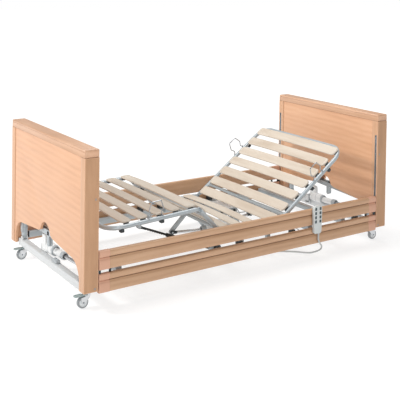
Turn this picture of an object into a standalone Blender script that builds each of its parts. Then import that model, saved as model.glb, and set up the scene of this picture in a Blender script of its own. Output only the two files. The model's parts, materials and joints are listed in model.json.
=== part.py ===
"""Low adjustable hospital bed: slatted lying surface in four sections, two wooden boards, scissor lift.

Metres, +Z up. The origin is on the floor under the middle of the bed, +X runs to the head end and the near
side is -Y. The bed stands at its lowest height with the backrest and the thigh section raised.
"""

import math

import bmesh
import bpy
from mathutils import Matrix, Vector

# ---- driving dimensions --------------------------------------------------------------------------
GAP = 0.0003                     # air between pieces that touch
OVERLAP = 0.005                  # how far joined shapes and cutters run into each other
FOOT, HEAD = -1, 1               # sign of x at each end
NEAR, FAR = -1, 1                # sign of y at each side
END_NAMES = {FOOT: "foot", HEAD: "head"}
SIDE_NAMES = {NEAR: "near", FAR: "far"}

# boards
BOARD_OUTER_X = 1.090
BOARD_INNER_X = 1.007
BOARD_HALF_WIDTH = 0.510
BOARD_BOTTOM = 0.104
BOARD_TOP = 0.845
POST_WIDTH = 0.050
TOP_RAIL_HEIGHT = 0.042
PANEL_INSET = 0.003
PANEL_SKIN = 0.0165
POCKET_HALF_WIDTH = 0.452
POCKET_TOP = 0.420
CUTOUT_HALF_WIDTH = 0.445
CUTOUT_CORNER = 0.100
CUTOUT_SHOULDER_Z = 0.250
CUTOUT_CREST_Z = 0.280
CUTOUT_ARCH_RADIUS = 0.070
CUTOUT_ARCH_TOP = 0.342

# guide tracks and side rails
TRACK_Y = 0.493
TRACK_HALF_WIDTH = 0.0079
TRACK_DEPTH = 0.015
TRACK_WALL = 0.002
TRACK_BOTTOM = 0.106
TRACK_TOP = 0.710
SLIDER_HALF_WIDTH = 0.004
RAIL_OUTER_Y = 0.511
RAIL_INNER_Y = 0.485
RAIL_HEIGHT = 0.098
RAIL_BOTTOMS = (0.091, 0.211)
RAIL_CORNER = 0.005
RAIL_HALF_LENGTH = 0.9397
COVE_DROPS = (0.031, 0.034, 0.046)   # the cove's upper lip, root and lower lip below the beam's top
COVE_DEPTH = 0.003
CAP_START_X = 0.940
CAP_END_X = 1.003
CAP_PROUD = 0.0008

# lying surface
SURFACE_Z = 0.235
TUBE_RADIUS = 0.0125
TUBE_Y = 0.420
SLAT_THICKNESS = 0.009
SLAT_HALF_LENGTH = 0.405
SLAT_WIDTH = 0.066
SURFACE_OFFSET = 0.0235          # slat top above the tubes' centre line
PIVOT_Z = SURFACE_Z - SURFACE_OFFSET
CROSS_TUBE_RADIUS = 0.010
HINGE_SETBACK = 0.018            # how far each side tube ends before its hinge axis
LUG_HALF_WIDTH = 0.010
PARENT_LUG = (-0.0065, -0.0005)  # y of a lug's two faces from the tube's centre line
CHILD_LUG = (0.0000, 0.0060)
HINGE_PIN_RADIUS = 0.005
HINGE_PIN_REACH = 0.0085
WIRE_RADIUS = 0.0028
WIRE_SPREAD = 0.088              # distance between the two feet of a mattress retainer
WIRE_LEAN = 0.1
HOLDER_STRIP_Y = (0.389, 0.404)
HOLDER_STRIP_DROP = 0.0014
SLAT_CROWN = 0.0025

BACK_X = 0.221
BACK_LENGTH = 0.705
BACK_CORNER = 0.100
BACK_CROSS_TUBE = 0.450
BACK_WIRE_START = 0.400
BACK_SLAT_START = 0.013
BACK_SLAT_PITCH = 0.1015
BACK_SLAT_COUNT = 7
BACK_ANGLE = math.radians(36.2)
THIGH_X = -0.144
THIGH_LENGTH = 0.270
THIGH_ANGLE = math.radians(46.8)
THIGH_CROSS_TUBE = -0.215
THIGH_SLAT_STARTS = (-0.022, -0.108, -0.194)
SEAT_SLAT_STARTS = (-0.107, -0.014, 0.079)
CALF_LENGTH = 0.5775
CALF_CORNER = 0.090
CALF_DROP = math.radians(2.8)    # slope of the calf section towards the foot
CALF_CROSS_TUBE = -0.300
CALF_WIRE_START = -0.330
CALF_SLAT_START = -0.008
CALF_SLAT_PITCH = -0.1045
CALF_SLAT_COUNT = 5

# main frame
SIDE_TUBE_Y = (0.437, 0.467)
SIDE_TUBE_Z = (0.122, 0.158)
SIDE_TUBE_END_X = BOARD_INNER_X - GAP
CROSS_BEAM_XS = (-0.850, 0.500, 0.780)
CROSS_BEAM_WIDTH = 0.035
CROSS_BEAM_Z = (0.151, 0.182)
SEAT_CROSS_XS = (-0.030, 0.170)
SEAT_SUPPORT_HALF = 0.012
SEAT_SUPPORT_RISE = 0.010        # its foot stands this far above the side tube's underside
RATCHET_BRACKET_Z = (0.148, 0.172)

# lift
BEAM_X = (1.029, 1.069)
BEAM_Z = (0.088, 0.130)
BEAM_HALF_LENGTH = 0.442
ARM_SPAN = 0.400                 # half of the distance between the pivots of one arm, along y
BASE_PIVOT_Z = 0.140
PLATFORM_PIVOT_Z = 0.290
ARM_HEIGHT = 0.030
ARM_A_X = (1.058, 1.069)
ARM_B_X = (1.045, 1.056)
ARM_A_ELBOW_Z = 0.268
ARM_B_ELBOW_Z = 0.248
ROLLER_RADIUS = 0.0097
CHANNEL_WALL = 0.0023
CHANNEL_MARGIN = 0.025           # length of the channel beyond the roller's lowest position
CHANNEL_TRAVEL = 0.215
PIN_RADIUS = 0.0080
PIN_CLEARANCE = 0.0003
COLUMN_RADIUS = 0.018
COLUMN_X = 1.049
COLUMN_Z = (0.155, 0.250)
COLLAR_Z = (0.196, 0.206)
COLLAR_PROUD = 0.0025
COLUMN_FOOT_X = (1.041, 1.057)
COLUMN_FOOT_HALF = 0.009
KNUCKLE_X = (1.040, 1.058)
KNUCKLE_RADIUS = 0.0095
CROSS_PIN_END_X = 1.0445
BASE_ROLLER_END_X = 1.067
CROSSING_HALF_WIDTH = 0.013
BASE_EARS_X = ((1.0310, 1.0395), (1.0585, 1.0670))
BASE_PIN_X = (1.038, 1.0565)
EAR_RADIUS = 0.012
MOTOR_EAR_RADIUS = 0.014
MOTOR_EAR_REACH = 0.0165         # from the motor's middle plane to the outer face of each ear
LATCH_X = (1.036, 1.062)
LATCH_Y = (-0.100, -0.040)
LATCH_HEIGHT = 0.018
LIFT_MOTOR_X = 1.016
LIFT_MOTOR_PIVOT = (0.170, 0.155)
LIFT_ROD_PIVOT = (-0.385, 0.186)

# actuators under the lying surface, as (x, z)
BACK_MOTOR_Y = 0.060
BACK_MOTOR_PIVOT = (0.040, 0.120)
BACK_LEVER = (0.110, -0.165)     # lever pivot from the hinge, section flat
THIGH_MOTOR_Y = -0.100
THIGH_MOTOR_PIVOT = (0.200, 0.140)
THIGH_LEVER = (-0.090, -0.140)
EYE_RADIUS = 0.013
EYE_HALF_WIDTH = 0.007
EYE_PIN_RADIUS = 0.006
LEVER_HALF_WIDTH = 0.013
LEVER_THICKNESS = 0.012
LEVER_CLEARANCE = 0.0035         # between an eye and the lever beside it
MOTOR_NECK = 0.034               # from the motor's eye to the start of its housing
BORE_CLEARANCE = 0.0050          # the rod swings this far in its bore as the section turns
# each as housing length, housing radius, rod length, rod radius
BACK_ACTUATOR = (0.215, 0.0225, 0.250, 0.009)
THIGH_ACTUATOR = (0.300, 0.0225, 0.385, 0.009)
LIFT_ACTUATOR = (0.290, 0.022, 0.333, 0.010)

# ratchet strut between the main frame and the calf section
RATCHET_Y = -0.385
RATCHET_PIVOT = (-0.230, 0.160)
RATCHET_CALF_PIVOT = (0.380, -0.030)
RATCHET_SLEEVE_LENGTH = 0.320
RATCHET_BAR_LENGTH = 0.440
RATCHET_TOOTH_PITCH = 0.016
RATCHET_BRACKET_HALF = 0.015
SLEEVE_EYE_RADIUS = 0.0115
SLEEVE_PIN_RADIUS = 0.005
SLEEVE_HALF_WIDTH = 0.0080
SLEEVE_HALF_HEIGHT = 0.0105
SLEEVE_WALL = 0.0020
SLEEVE_CAVITY_START = 0.020
BAR_HALF_HEIGHT = 0.0065
BAR_HALF_THICKNESS = 0.004
BAR_EYE_RADIUS = 0.009
BAR_EYE_HOLE = 0.0043
TOOTH_DEPTH = 0.003
TOOTH_FLANK = 0.004

# castors
SWIVEL_X = 1.034
CASTOR_Y = 0.427
CASTOR_TRAIL = 0.022
WHEEL_RADIUS = 0.031
WHEEL_HALF_WIDTH = 0.0105
AXLE_HALF_LENGTH = 0.0172
CASTOR_TOP = 0.084
CASTOR_PLATE_RADIUS = 0.019
CASTOR_PLATE_THICKNESS = 0.010
STEM_RADIUS = 0.008
FORK_LEG_Y = (0.0125, 0.0155)
FORK_BACK_X = (-0.016, -0.001)   # block behind the pedal's arms, outward from the swivel axis
FORK_BACK_BOTTOM = 0.064
FORK_TONGUE_END = 0.014
FORK_TONGUE_HALF_WIDTH = 0.006
FORK_BOSS_RADIUS = 0.009
FORK_BORE = 0.0050
AXLE_RADIUS = 0.0047
PEDAL_HINGE = (0.006, 0.0680)    # outward from the swivel axis, height
PEDAL_ARM_X = (0.002, 0.027)
PEDAL_ARM_Y = (0.0066, 0.0100)
PEDAL_ARM_Z = (0.0655, 0.0715)
PEDAL_HALF_WIDTH = 0.017

# handset
HANDSET_X = 0.481
HANDSET_HALF_WIDTH = 0.034
HANDSET_Z = (0.160, 0.333)
HANDSET_Y = (-0.5322, -0.5123)
BUTTON_COLUMNS = (-0.018, 0.018)
BUTTON_ROWS = (0.313, 0.287, 0.261, 0.235)
BUTTON_RADIUS = 0.0065
BUTTON_PROUD = 0.0012
BUTTON_TRAVEL = 0.001
BUTTON_WELL = 0.005
HOOK_THICKNESS = 0.004
HOOK_HALF_WIDTH = 0.012
HOOK_LIP = 0.020
CABLE_RADIUS = 0.004


# ---- helpers -------------------------------------------------------------------------------------
def material(name, colour, roughness, metallic=0.0):
    made = bpy.data.materials.new(name)
    made.use_nodes = True
    shader = made.node_tree.nodes["Principled BSDF"]
    shader.inputs["Base Color"].default_value = (*colour, 1.0)
    shader.inputs["Roughness"].default_value = roughness
    shader.inputs["Metallic"].default_value = metallic
    return made


def new_object(name, mesh):
    obj = bpy.data.objects.new(name, mesh)
    bpy.context.scene.collection.objects.link(obj)
    return obj


def from_bmesh(bm):
    bmesh.ops.recalc_face_normals(bm, faces=bm.faces)
    mesh = bpy.data.meshes.new("piece")
    bm.to_mesh(mesh)
    bm.free()
    return new_object("piece", mesh)


def prism(outline, axis, low, high):
    """A flat outline pushed along an axis. The outline holds the two other coordinates, in x, y, z order."""
    def point(pair, depth):
        values = list(pair)
        values.insert("XYZ".index(axis), depth)
        return values

    bm = bmesh.new()
    bottom = [bm.verts.new(point(pair, low)) for pair in outline]
    face = bm.faces.new(bottom)
    grown = bmesh.ops.extrude_face_region(bm, geom=[face])["geom"]
    shift = Vector(point((0, 0), high - low))
    bmesh.ops.translate(bm, vec=shift, verts=[v for v in grown if isinstance(v, bmesh.types.BMVert)])
    return from_bmesh(bm)


def box(xs, ys, zs):
    (x0, x1), (y0, y1), (z0, z1) = sorted(xs), sorted(ys), sorted(zs)
    return prism([(x0, y0), (x1, y0), (x1, y1), (x0, y1)], "Z", z0, z1)


def cylinder(start, end, radius, sides=12):
    start, end = Vector(start), Vector(end)
    turn = (end - start).to_track_quat("Z", "Y").to_matrix().to_4x4()
    bm = bmesh.new()
    bmesh.ops.create_cone(bm, cap_ends=True, segments=sides, radius1=radius, radius2=radius,
                          depth=(end - start).length, matrix=Matrix.Translation((start + end) / 2) @ turn)
    return from_bmesh(bm)


def bent_path(corners, radius, steps=5):
    """The corners' polyline with each inner corner rounded to an arc of this radius."""
    corners = [Vector(c) for c in corners]
    path = [corners[0]]
    for before, corner, after in zip(corners, corners[1:], corners[2:]):
        a, b = (before - corner).normalized(), (after - corner).normalized()
        half = a.angle(b) / 2
        reach = radius / math.tan(half)
        centre = corner + (a + b).normalized() * radius / math.sin(half)
        first, last = corner + a * reach - centre, corner + b * reach - centre
        turn = first.angle(last) / steps
        axis = first.cross(last)
        for step in range(steps + 1):
            path.append(centre + Matrix.Rotation(turn * step, 3, axis) @ first)
    return path + [corners[-1]]


def tube(path, radius, sides=8):
    """A round bar swept along a path, with mitred rings and closed ends."""
    path = [Vector(p) for p in path]
    bm = bmesh.new()
    rings = []
    forward = (path[1] - path[0]).normalized()
    side = forward.orthogonal().normalized()
    for index, point in enumerate(path):
        before = (point - path[index - 1]).normalized() if index else forward
        after = (path[index + 1] - point).normalized() if index + 1 < len(path) else before
        side = forward.rotation_difference(before).to_matrix() @ side
        side = before.rotation_difference(after).to_matrix() @ side
        forward = after
        along = (before + after).normalized()
        up = along.cross(side).normalized()
        across = up.cross(along).normalized()
        stretch = 1 / max(along.dot(after), 0.5)
        bend = (after - before)
        bend = bend.normalized() if bend.length > 1e-6 else Vector((0, 0, 0))
        ring = []
        for k in range(sides):
            angle = 2 * math.pi * (k + 0.5) / sides
            offset = (across * math.cos(angle) + up * math.sin(angle)) * radius
            offset += bend * offset.dot(bend) * (stretch - 1)
            ring.append(bm.verts.new(point + offset))
        rings.append(ring)
    for one, two in zip(rings, rings[1:]):
        for k in range(sides):
            bm.faces.new((one[k], one[(k + 1) % sides], two[(k + 1) % sides], two[k]))
    bm.faces.new(rings[0])
    bm.faces.new(rings[-1])
    return from_bmesh(bm)


def arc(centre, radius, start, end, steps):
    """Points of a flat arc, angles in degrees."""
    angles = [math.radians(start + (end - start) * k / steps) for k in range(steps + 1)]
    return [(centre[0] + radius * math.cos(a), centre[1] + radius * math.sin(a)) for a in angles]


def bar_outline(start, end, half_width, steps=4):
    """A flat bar between two points with both ends round."""
    angle = math.degrees(math.atan2(end[1] - start[1], end[0] - start[0]))
    return (arc(end, half_width, angle - 90, angle + 90, steps)
            + arc(start, half_width, angle + 90, angle + 270, steps))


def combined(target, others, operation):
    """The Boolean of the target with each other shape in turn; the others are used up."""
    for other in others:
        modifier = target.modifiers.new(operation.lower(), "BOOLEAN")
        modifier.operation = operation
        modifier.object = other
    graph = bpy.context.evaluated_depsgraph_get()
    graph.update()
    mesh = bpy.data.meshes.new_from_object(target.evaluated_get(graph))
    target.modifiers.clear()
    target.data = mesh
    for other in others:
        bpy.data.objects.remove(other, do_unlink=True)
    return target


def union(pieces):
    return combined(pieces[0], pieces[1:], "UNION")


def cut(target, cutters):
    return combined(target, cutters, "DIFFERENCE")


def finish(obj, name, look, parent=None, origin=(0, 0, 0), round_piece=False):
    """Name a piece, give it its material and put its origin on its joint, in the parent's space."""
    obj.name = name
    obj.data.name = name
    obj.data.transform(Matrix.Translation(-Vector(origin)))
    obj.location = origin
    obj.parent = parent
    obj.data.materials.clear()
    obj.data.materials.append(look)
    if round_piece:
        obj.data.shade_smooth()
        obj.data.set_sharp_from_angle(angle=math.radians(35))
    return obj


def empty(name, location, turn_y=0.0, parent=None):
    made = bpy.data.objects.new(name, None)
    bpy.context.scene.collection.objects.link(made)
    made.location = location
    made.rotation_euler = (0.0, turn_y, 0.0)
    made.parent = parent
    return made


def turned(point, angle):
    """A point (x, z) turned anticlockwise in a picture with x to the right and z up."""
    cosine, sine = math.cos(angle), math.sin(angle)
    return (point[0] * cosine - point[1] * sine, point[0] * sine + point[1] * cosine)


# ---- boards --------------------------------------------------------------------------------------
def cutout_outline(floor_z):
    """The opening at the foot of a board panel, as (y, z): two shoulders and an arch in the middle."""
    half = []
    half.append((CUTOUT_HALF_WIDTH, floor_z))
    shoulder = (CUTOUT_HALF_WIDTH - CUTOUT_CORNER, CUTOUT_SHOULDER_Z - CUTOUT_CORNER)
    half += arc(shoulder, CUTOUT_CORNER, 0, 84, 6)
    arch_centre_z = CUTOUT_ARCH_TOP - CUTOUT_ARCH_RADIUS
    half.append((CUTOUT_ARCH_RADIUS + 0.022, CUTOUT_CREST_Z - 0.004))
    half.append((CUTOUT_ARCH_RADIUS + 0.008, CUTOUT_CREST_Z))
    half += arc((0, arch_centre_z), CUTOUT_ARCH_RADIUS, 20, 90, 5)
    mirrored = [(-y, z) for y, z in reversed(half[:-1])]
    return half + mirrored


def board_panel(end, look):
    """Hollow panel: two skins joined above the pocket in which the lift works."""
    inner = BOARD_INNER_X + PANEL_INSET
    outer = BOARD_OUTER_X - PANEL_INSET
    half = BOARD_HALF_WIDTH - POST_WIDTH - GAP
    top = BOARD_TOP - TOP_RAIL_HEIGHT - GAP
    below = BOARD_BOTTOM - 0.02
    panel = box((end * inner, end * outer), (-half, half), (BOARD_BOTTOM, top))
    pocket = box((end * (inner + PANEL_SKIN), end * (outer - PANEL_SKIN)),
                 (-POCKET_HALF_WIDTH, POCKET_HALF_WIDTH), (below, POCKET_TOP))
    xs = sorted((end * (inner - 0.01), end * (outer + 0.01)))
    opening = prism(cutout_outline(below), "X", *xs)
    cut(panel, [pocket, opening])
    roller_track = lift_channel(end)
    pivot_pin = cylinder((end * (inner + PANEL_SKIN - 0.002), ARM_SPAN, PLATFORM_PIVOT_Z),
                         (end * (ARM_B_X[1] + 0.0005), ARM_SPAN, PLATFORM_PIVOT_Z), PIN_RADIUS)
    union([panel, roller_track, pivot_pin])
    finish(panel, f"{END_NAMES[end]}_board_panel", look)


def lift_channel(end):
    """The channel inside the panel in which the near roller of arm A runs."""
    web_start = BOARD_INNER_X + PANEL_INSET + PANEL_SKIN - 0.001
    slot = ROLLER_RADIUS + 0.0005
    half = slot + CHANNEL_WALL
    ys = (-ARM_SPAN - CHANNEL_MARGIN, -ARM_SPAN + CHANNEL_TRAVEL)
    channel = box((end * web_start, end * (ARM_B_X[1] + 0.0005)), ys,
                  (PLATFORM_PIVOT_Z - half, PLATFORM_PIVOT_Z + half))
    groove = box((end * (ARM_B_X[0] - 0.002), end * (ARM_B_X[1] + 0.01)), (ys[0] + 0.003, ys[1] + 0.01),
                 (PLATFORM_PIVOT_Z - slot, PLATFORM_PIVOT_Z + slot))
    return cut(channel, [groove])


def board_frame(end, look):
    """Two posts under a top rail, one glued piece, with a groove in each post for its guide track."""
    bevel = 0.006
    half, top, bottom = BOARD_HALF_WIDTH, BOARD_TOP, BOARD_BOTTOM
    inner_y, rail_z = half - POST_WIDTH, top - TOP_RAIL_HEIGHT
    outline = [(-half, bottom), (-inner_y, bottom), (-inner_y, rail_z), (inner_y, rail_z), (inner_y, bottom),
               (half, bottom), (half, top - bevel), (half - bevel, top), (bevel - half, top),
               (-half, top - bevel)]
    frame = prism(outline, "X", *sorted((end * BOARD_INNER_X, end * BOARD_OUTER_X)))
    grooves = []
    width = TRACK_HALF_WIDTH + GAP
    for side in (NEAR, FAR):
        ys = (side * (TRACK_Y - width), side * (TRACK_Y + width))
        grooves.append(box((end * (BOARD_INNER_X - 0.01), end * (BOARD_INNER_X + TRACK_DEPTH + 2 * GAP)), ys,
                           (BOARD_BOTTOM - 0.01, TRACK_TOP + GAP)))
    cut(frame, grooves)
    finish(frame, f"{END_NAMES[end]}_board_frame", look)


def guide_track(end, side, look):
    """U channel let into the post; the side rail's slider runs inside it."""
    xs = (end * (BOARD_INNER_X + GAP), end * (BOARD_INNER_X + TRACK_DEPTH + GAP))
    ys = (side * (TRACK_Y - TRACK_HALF_WIDTH), side * (TRACK_Y + TRACK_HALF_WIDTH))
    track = box(xs, ys, (TRACK_BOTTOM, TRACK_TOP))
    inner = TRACK_HALF_WIDTH - TRACK_WALL
    hollow = box((end * (BOARD_INNER_X - 0.01), end * (BOARD_INNER_X + TRACK_DEPTH + GAP - TRACK_WALL)),
                 (side * (TRACK_Y - inner), side * (TRACK_Y + inner)),
                 (TRACK_BOTTOM - 0.01, TRACK_TOP - TRACK_WALL))
    cut(track, [hollow])
    finish(track, f"guide_track_{END_NAMES[end]}_{SIDE_NAMES[side]}", look)


# ---- side rails ----------------------------------------------------------------------------------
def rail_outline(bottom, side, proud=0.0):
    """Section (y, z) of a rail beam: cut corners and one cove along the outer face."""
    top, low = bottom + RAIL_HEIGHT + proud, bottom - proud
    outer, inner = RAIL_OUTER_Y + proud, RAIL_INNER_Y - proud
    corner = RAIL_CORNER
    outline = [(inner, low + corner), (inner + corner, low), (outer - corner, low), (outer, low + corner)]
    upper_lip, deepest, lower_lip = (bottom + RAIL_HEIGHT - drop for drop in COVE_DROPS)
    outline += [(outer, lower_lip), (outer - COVE_DEPTH, deepest), (outer, upper_lip)]
    outline += [(outer, top - corner), (outer - corner, top), (inner + corner, top), (inner, top - corner)]
    return [(side * y, z) for y, z in outline]


def side_rail(side, wood, plastic):
    for label, bottom in zip(("lower", "upper"), RAIL_BOTTOMS):
        beam = prism(rail_outline(bottom, side), "X", -RAIL_HALF_LENGTH, RAIL_HALF_LENGTH)
        finish(beam, f"{SIDE_NAMES[side]}_rail_{label}_beam", wood)
    middle_y = (RAIL_OUTER_Y + RAIL_INNER_Y) / 2
    for end in (FOOT, HEAD):
        pieces = []
        for bottom in RAIL_BOTTOMS:
            xs = sorted((end * CAP_START_X, end * CAP_END_X))
            pieces.append(prism(rail_outline(bottom, side, CAP_PROUD), "X", *xs))
        pieces.append(box((end * (CAP_END_X - 0.014), end * (CAP_END_X - 0.004)),
                          (side * (middle_y - 0.005), side * (middle_y + 0.005)),
                          (RAIL_BOTTOMS[0] + RAIL_HEIGHT - 0.01, RAIL_BOTTOMS[1] + 0.01)))
        slider_end = BOARD_INNER_X + TRACK_DEPTH - TRACK_WALL - 0.0015
        pieces.append(box((end * (CAP_END_X - 0.002), end * slider_end),
                          (side * (TRACK_Y - SLIDER_HALF_WIDTH), side * (TRACK_Y + SLIDER_HALF_WIDTH)),
                          (RAIL_BOTTOMS[0] + 0.02, RAIL_BOTTOMS[1] + RAIL_HEIGHT - 0.015)))
        union(pieces)
        finish(pieces[0], f"{SIDE_NAMES[side]}_rail_{END_NAMES[end]}_carriage", plastic)


# ---- section frames ------------------------------------------------------------------------------
def hinge_lugs(hinge_x, direction, offset_in, offset_out, pinned):
    """Plates that reach from both side tubes to a hinge axis at this x; the pinned ones carry the pins."""
    pieces = []
    start = hinge_x + direction * (HINGE_SETBACK + OVERLAP)
    for side in (NEAR, FAR):
        ys = sorted((side * (TUBE_Y + offset_in), side * (TUBE_Y + offset_out)))
        outline = bar_outline((start, 0.0), (hinge_x, 0.0), LUG_HALF_WIDTH)
        pieces.append(prism(outline, "Y", *ys))
        if pinned:
            start_y = side * (TUBE_Y + offset_out - 0.001)
            end_y = side * (TUBE_Y + offset_in - HINGE_PIN_REACH)
            pieces.append(cylinder((hinge_x, start_y, 0), (hinge_x, end_y, 0), HINGE_PIN_RADIUS, 12))
    return pieces


def hinge_holes(hinge_x, z=0.0):
    half = 0.03
    return [cylinder((hinge_x, side * (TUBE_Y - half), z), (hinge_x, side * (TUBE_Y + half), z),
                     HINGE_PIN_RADIUS + PIN_CLEARANCE, 12) for side in (NEAR, FAR)]


def wire_holder(start, side):
    """Bent wire that keeps the mattress in place, standing on a side tube. Starts at this x."""
    y = side * (TUBE_Y + 0.004)
    up = [(0.000, 0.006), (0.012, 0.034), (-0.002, 0.058), (0.006, 0.082), (0.014, 0.104)]
    first = [(start + dx, y + side * WIRE_LEAN * dz, dz) for dx, dz in up]
    second = [(start + WIRE_SPREAD - dx, y + side * WIRE_LEAN * dz, dz) for dx, dz in reversed(up)]
    return tube(bent_path(first + second, 2 * WIRE_RADIUS, 2), WIRE_RADIUS, 6)


def section_loop(direction, length, corner):
    """The bent tube around the free end of the backrest or the calf section."""
    start = direction * HINGE_SETBACK
    end = direction * length
    corners = [(start, -TUBE_Y, 0), (end, -TUBE_Y, 0), (end, TUBE_Y, 0), (start, TUBE_Y, 0)]
    return tube(bent_path(corners, corner, 6), TUBE_RADIUS, 10)


def cross_tube(x, z=0.0):
    return cylinder((x, -TUBE_Y, z), (x, TUBE_Y, z), CROSS_TUBE_RADIUS, 10)


def lever(x, lateral, pivot):
    """Plate from a cross tube down to the pin of an actuator's rod."""
    near_face = lateral + EYE_HALF_WIDTH + LEVER_CLEARANCE
    ys = (near_face, near_face + LEVER_THICKNESS)
    plate = prism(bar_outline((x, 0.0), pivot, LEVER_HALF_WIDTH), "Y", *ys)
    pin = cylinder((pivot[0], ys[0] + 0.002, pivot[1]),
                   (pivot[0], lateral - EYE_HALF_WIDTH - 0.003, pivot[1]),
                   EYE_PIN_RADIUS, 12)
    return [plate, pin]


def backrest(hinge, look):
    pieces = [section_loop(1, BACK_LENGTH, BACK_CORNER), cross_tube(BACK_LEVER[0]),
              cross_tube(BACK_CROSS_TUBE)]
    pieces += hinge_lugs(0.0, 1, *CHILD_LUG, pinned=True)
    pieces += lever(BACK_LEVER[0], BACK_MOTOR_Y, BACK_LEVER)
    pieces += [wire_holder(BACK_WIRE_START, side) for side in (NEAR, FAR)]
    union(pieces)
    finish(pieces[0], "backrest_frame", look, hinge, round_piece=True)


def thigh_section(hinge, look):
    near, far = [cylinder((-HINGE_SETBACK, side * TUBE_Y, 0), (HINGE_SETBACK - THIGH_LENGTH, side * TUBE_Y, 0),
                          TUBE_RADIUS, 10) for side in (NEAR, FAR)]
    pieces = [near, far, cross_tube(THIGH_LEVER[0]), cross_tube(THIGH_CROSS_TUBE)]
    pieces += hinge_lugs(0.0, -1, *CHILD_LUG, pinned=True)
    pieces += hinge_lugs(-THIGH_LENGTH, 1, *PARENT_LUG, pinned=False)
    pieces += lever(THIGH_LEVER[0], THIGH_MOTOR_Y, THIGH_LEVER)
    union(pieces)
    cut(pieces[0], hinge_holes(-THIGH_LENGTH))
    finish(pieces[0], "thigh_frame", look, hinge, round_piece=True)


def calf_section(hinge, look):
    pieces = [section_loop(-1, CALF_LENGTH, CALF_CORNER), cross_tube(CALF_CROSS_TUBE)]
    pieces += hinge_lugs(0.0, -1, *CHILD_LUG, pinned=True)
    pivot_x, pivot_z = -RATCHET_CALF_PIVOT[0], RATCHET_CALF_PIVOT[1]
    lug_y = RATCHET_Y - 0.0085
    pieces.append(box((pivot_x - 0.012, pivot_x + 0.012), (lug_y - 0.018, lug_y), (pivot_z - 0.010, 0.0)))
    pieces.append(cylinder((pivot_x, lug_y - 0.002, pivot_z), (pivot_x, RATCHET_Y + 0.007, pivot_z), 0.004, 10))
    pieces += [wire_holder(CALF_WIRE_START, side) for side in (NEAR, FAR)]
    union(pieces)
    finish(pieces[0], "calf_frame", look, hinge, round_piece=True)


def slats(name, starts, look, hinge=None, base_z=0.0):
    """Slats that start at these x, away from the hinge, on two strips that run along the side tubes."""
    top = base_z + SURFACE_OFFSET
    bottom = top - SLAT_THICKNESS
    width = math.copysign(SLAT_WIDTH, starts[0]) if hinge else SLAT_WIDTH
    pieces = []
    for start in starts:
        x0, x1 = sorted((start, start + width))
        outline = [(x0, bottom), (x1, bottom), (x1, top - SLAT_CROWN), (x1 - SLAT_CROWN, top), (x0 + SLAT_CROWN, top),
                   (x0, top - SLAT_CROWN)]
        pieces.append(prism(outline, "Y", -SLAT_HALF_LENGTH, SLAT_HALF_LENGTH))
    for side in (NEAR, FAR):
        ys = [side * y for y in HOLDER_STRIP_Y]
        pieces.append(box((starts[0], starts[-1] + width), ys, (bottom - HOLDER_STRIP_DROP, bottom + 0.001)))
    union(pieces)
    finish(pieces[0], name, look, hinge)


# ---- main frame ----------------------------------------------------------------------------------
def mattress_frame(look):
    length = (-SIDE_TUBE_END_X, SIDE_TUBE_END_X)
    pieces = [box(length, [side * y for y in SIDE_TUBE_Y], SIDE_TUBE_Z) for side in (NEAR, FAR)]
    inner = SIDE_TUBE_Y[0] + OVERLAP
    for x in CROSS_BEAM_XS:
        half = CROSS_BEAM_WIDTH / 2
        pieces.append(box((x - half, x + half), (-inner, inner), CROSS_BEAM_Z))
    for side in (NEAR, FAR):
        pieces.append(cylinder((THIGH_X + HINGE_SETBACK, side * TUBE_Y, PIVOT_Z),
                               (BACK_X - HINGE_SETBACK, side * TUBE_Y, PIVOT_Z), TUBE_RADIUS, 10))
        for x in SEAT_CROSS_XS:
            pieces.append(box((x - SEAT_SUPPORT_HALF, x + SEAT_SUPPORT_HALF),
                              (side * (TUBE_Y - 0.006), side * (SIDE_TUBE_Y[0] + OVERLAP)),
                              (SIDE_TUBE_Z[0] + SEAT_SUPPORT_RISE, PIVOT_Z + 0.004)))
    for x in SEAT_CROSS_XS:
        pieces.append(cross_tube(x, PIVOT_Z))
    for hinge_x, direction in ((THIGH_X, 1), (BACK_X, -1)):
        lugs = hinge_lugs(hinge_x, direction, *PARENT_LUG, pinned=False)
        for lug in lugs:
            lug.data.transform(Matrix.Translation((0, 0, PIVOT_Z)))
        pieces += lugs
    pieces += frame_bracket(SEAT_CROSS_XS[0], BACK_MOTOR_PIVOT, BACK_MOTOR_Y)
    pieces += frame_bracket(SEAT_CROSS_XS[1], THIGH_MOTOR_PIVOT, THIGH_MOTOR_Y)
    x, z = RATCHET_PIVOT
    bracket_y = RATCHET_Y - 0.0125
    pieces.append(box((x - RATCHET_BRACKET_HALF, x + RATCHET_BRACKET_HALF),
                      (-SIDE_TUBE_Y[0] - RATCHET_BRACKET_HALF, bracket_y), RATCHET_BRACKET_Z))
    pieces.append(cylinder((x, bracket_y - 0.002, z), (x, RATCHET_Y + SLEEVE_EYE_RADIUS, z),
                           SLEEVE_PIN_RADIUS, 12))
    union(pieces)
    cut(pieces[0], hinge_holes(THIGH_X, PIVOT_Z) + hinge_holes(BACK_X, PIVOT_Z))
    finish(pieces[0], "mattress_frame", look)


def frame_bracket(tube_x, pivot, lateral):
    """Plate that hangs from a seat cross tube and holds the fixed end of an actuator."""
    near_face = lateral + EYE_HALF_WIDTH + 0.0005
    ys = (near_face, near_face + LEVER_THICKNESS)
    plate = prism(bar_outline((tube_x, PIVOT_Z - 0.004), pivot, LEVER_HALF_WIDTH), "Y", *ys)
    pin = cylinder((pivot[0], ys[0] + 0.002, pivot[1]),
                   (pivot[0], lateral - EYE_HALF_WIDTH - 0.003, pivot[1]),
                   EYE_PIN_RADIUS, 12)
    return [plate, pin]


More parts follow.
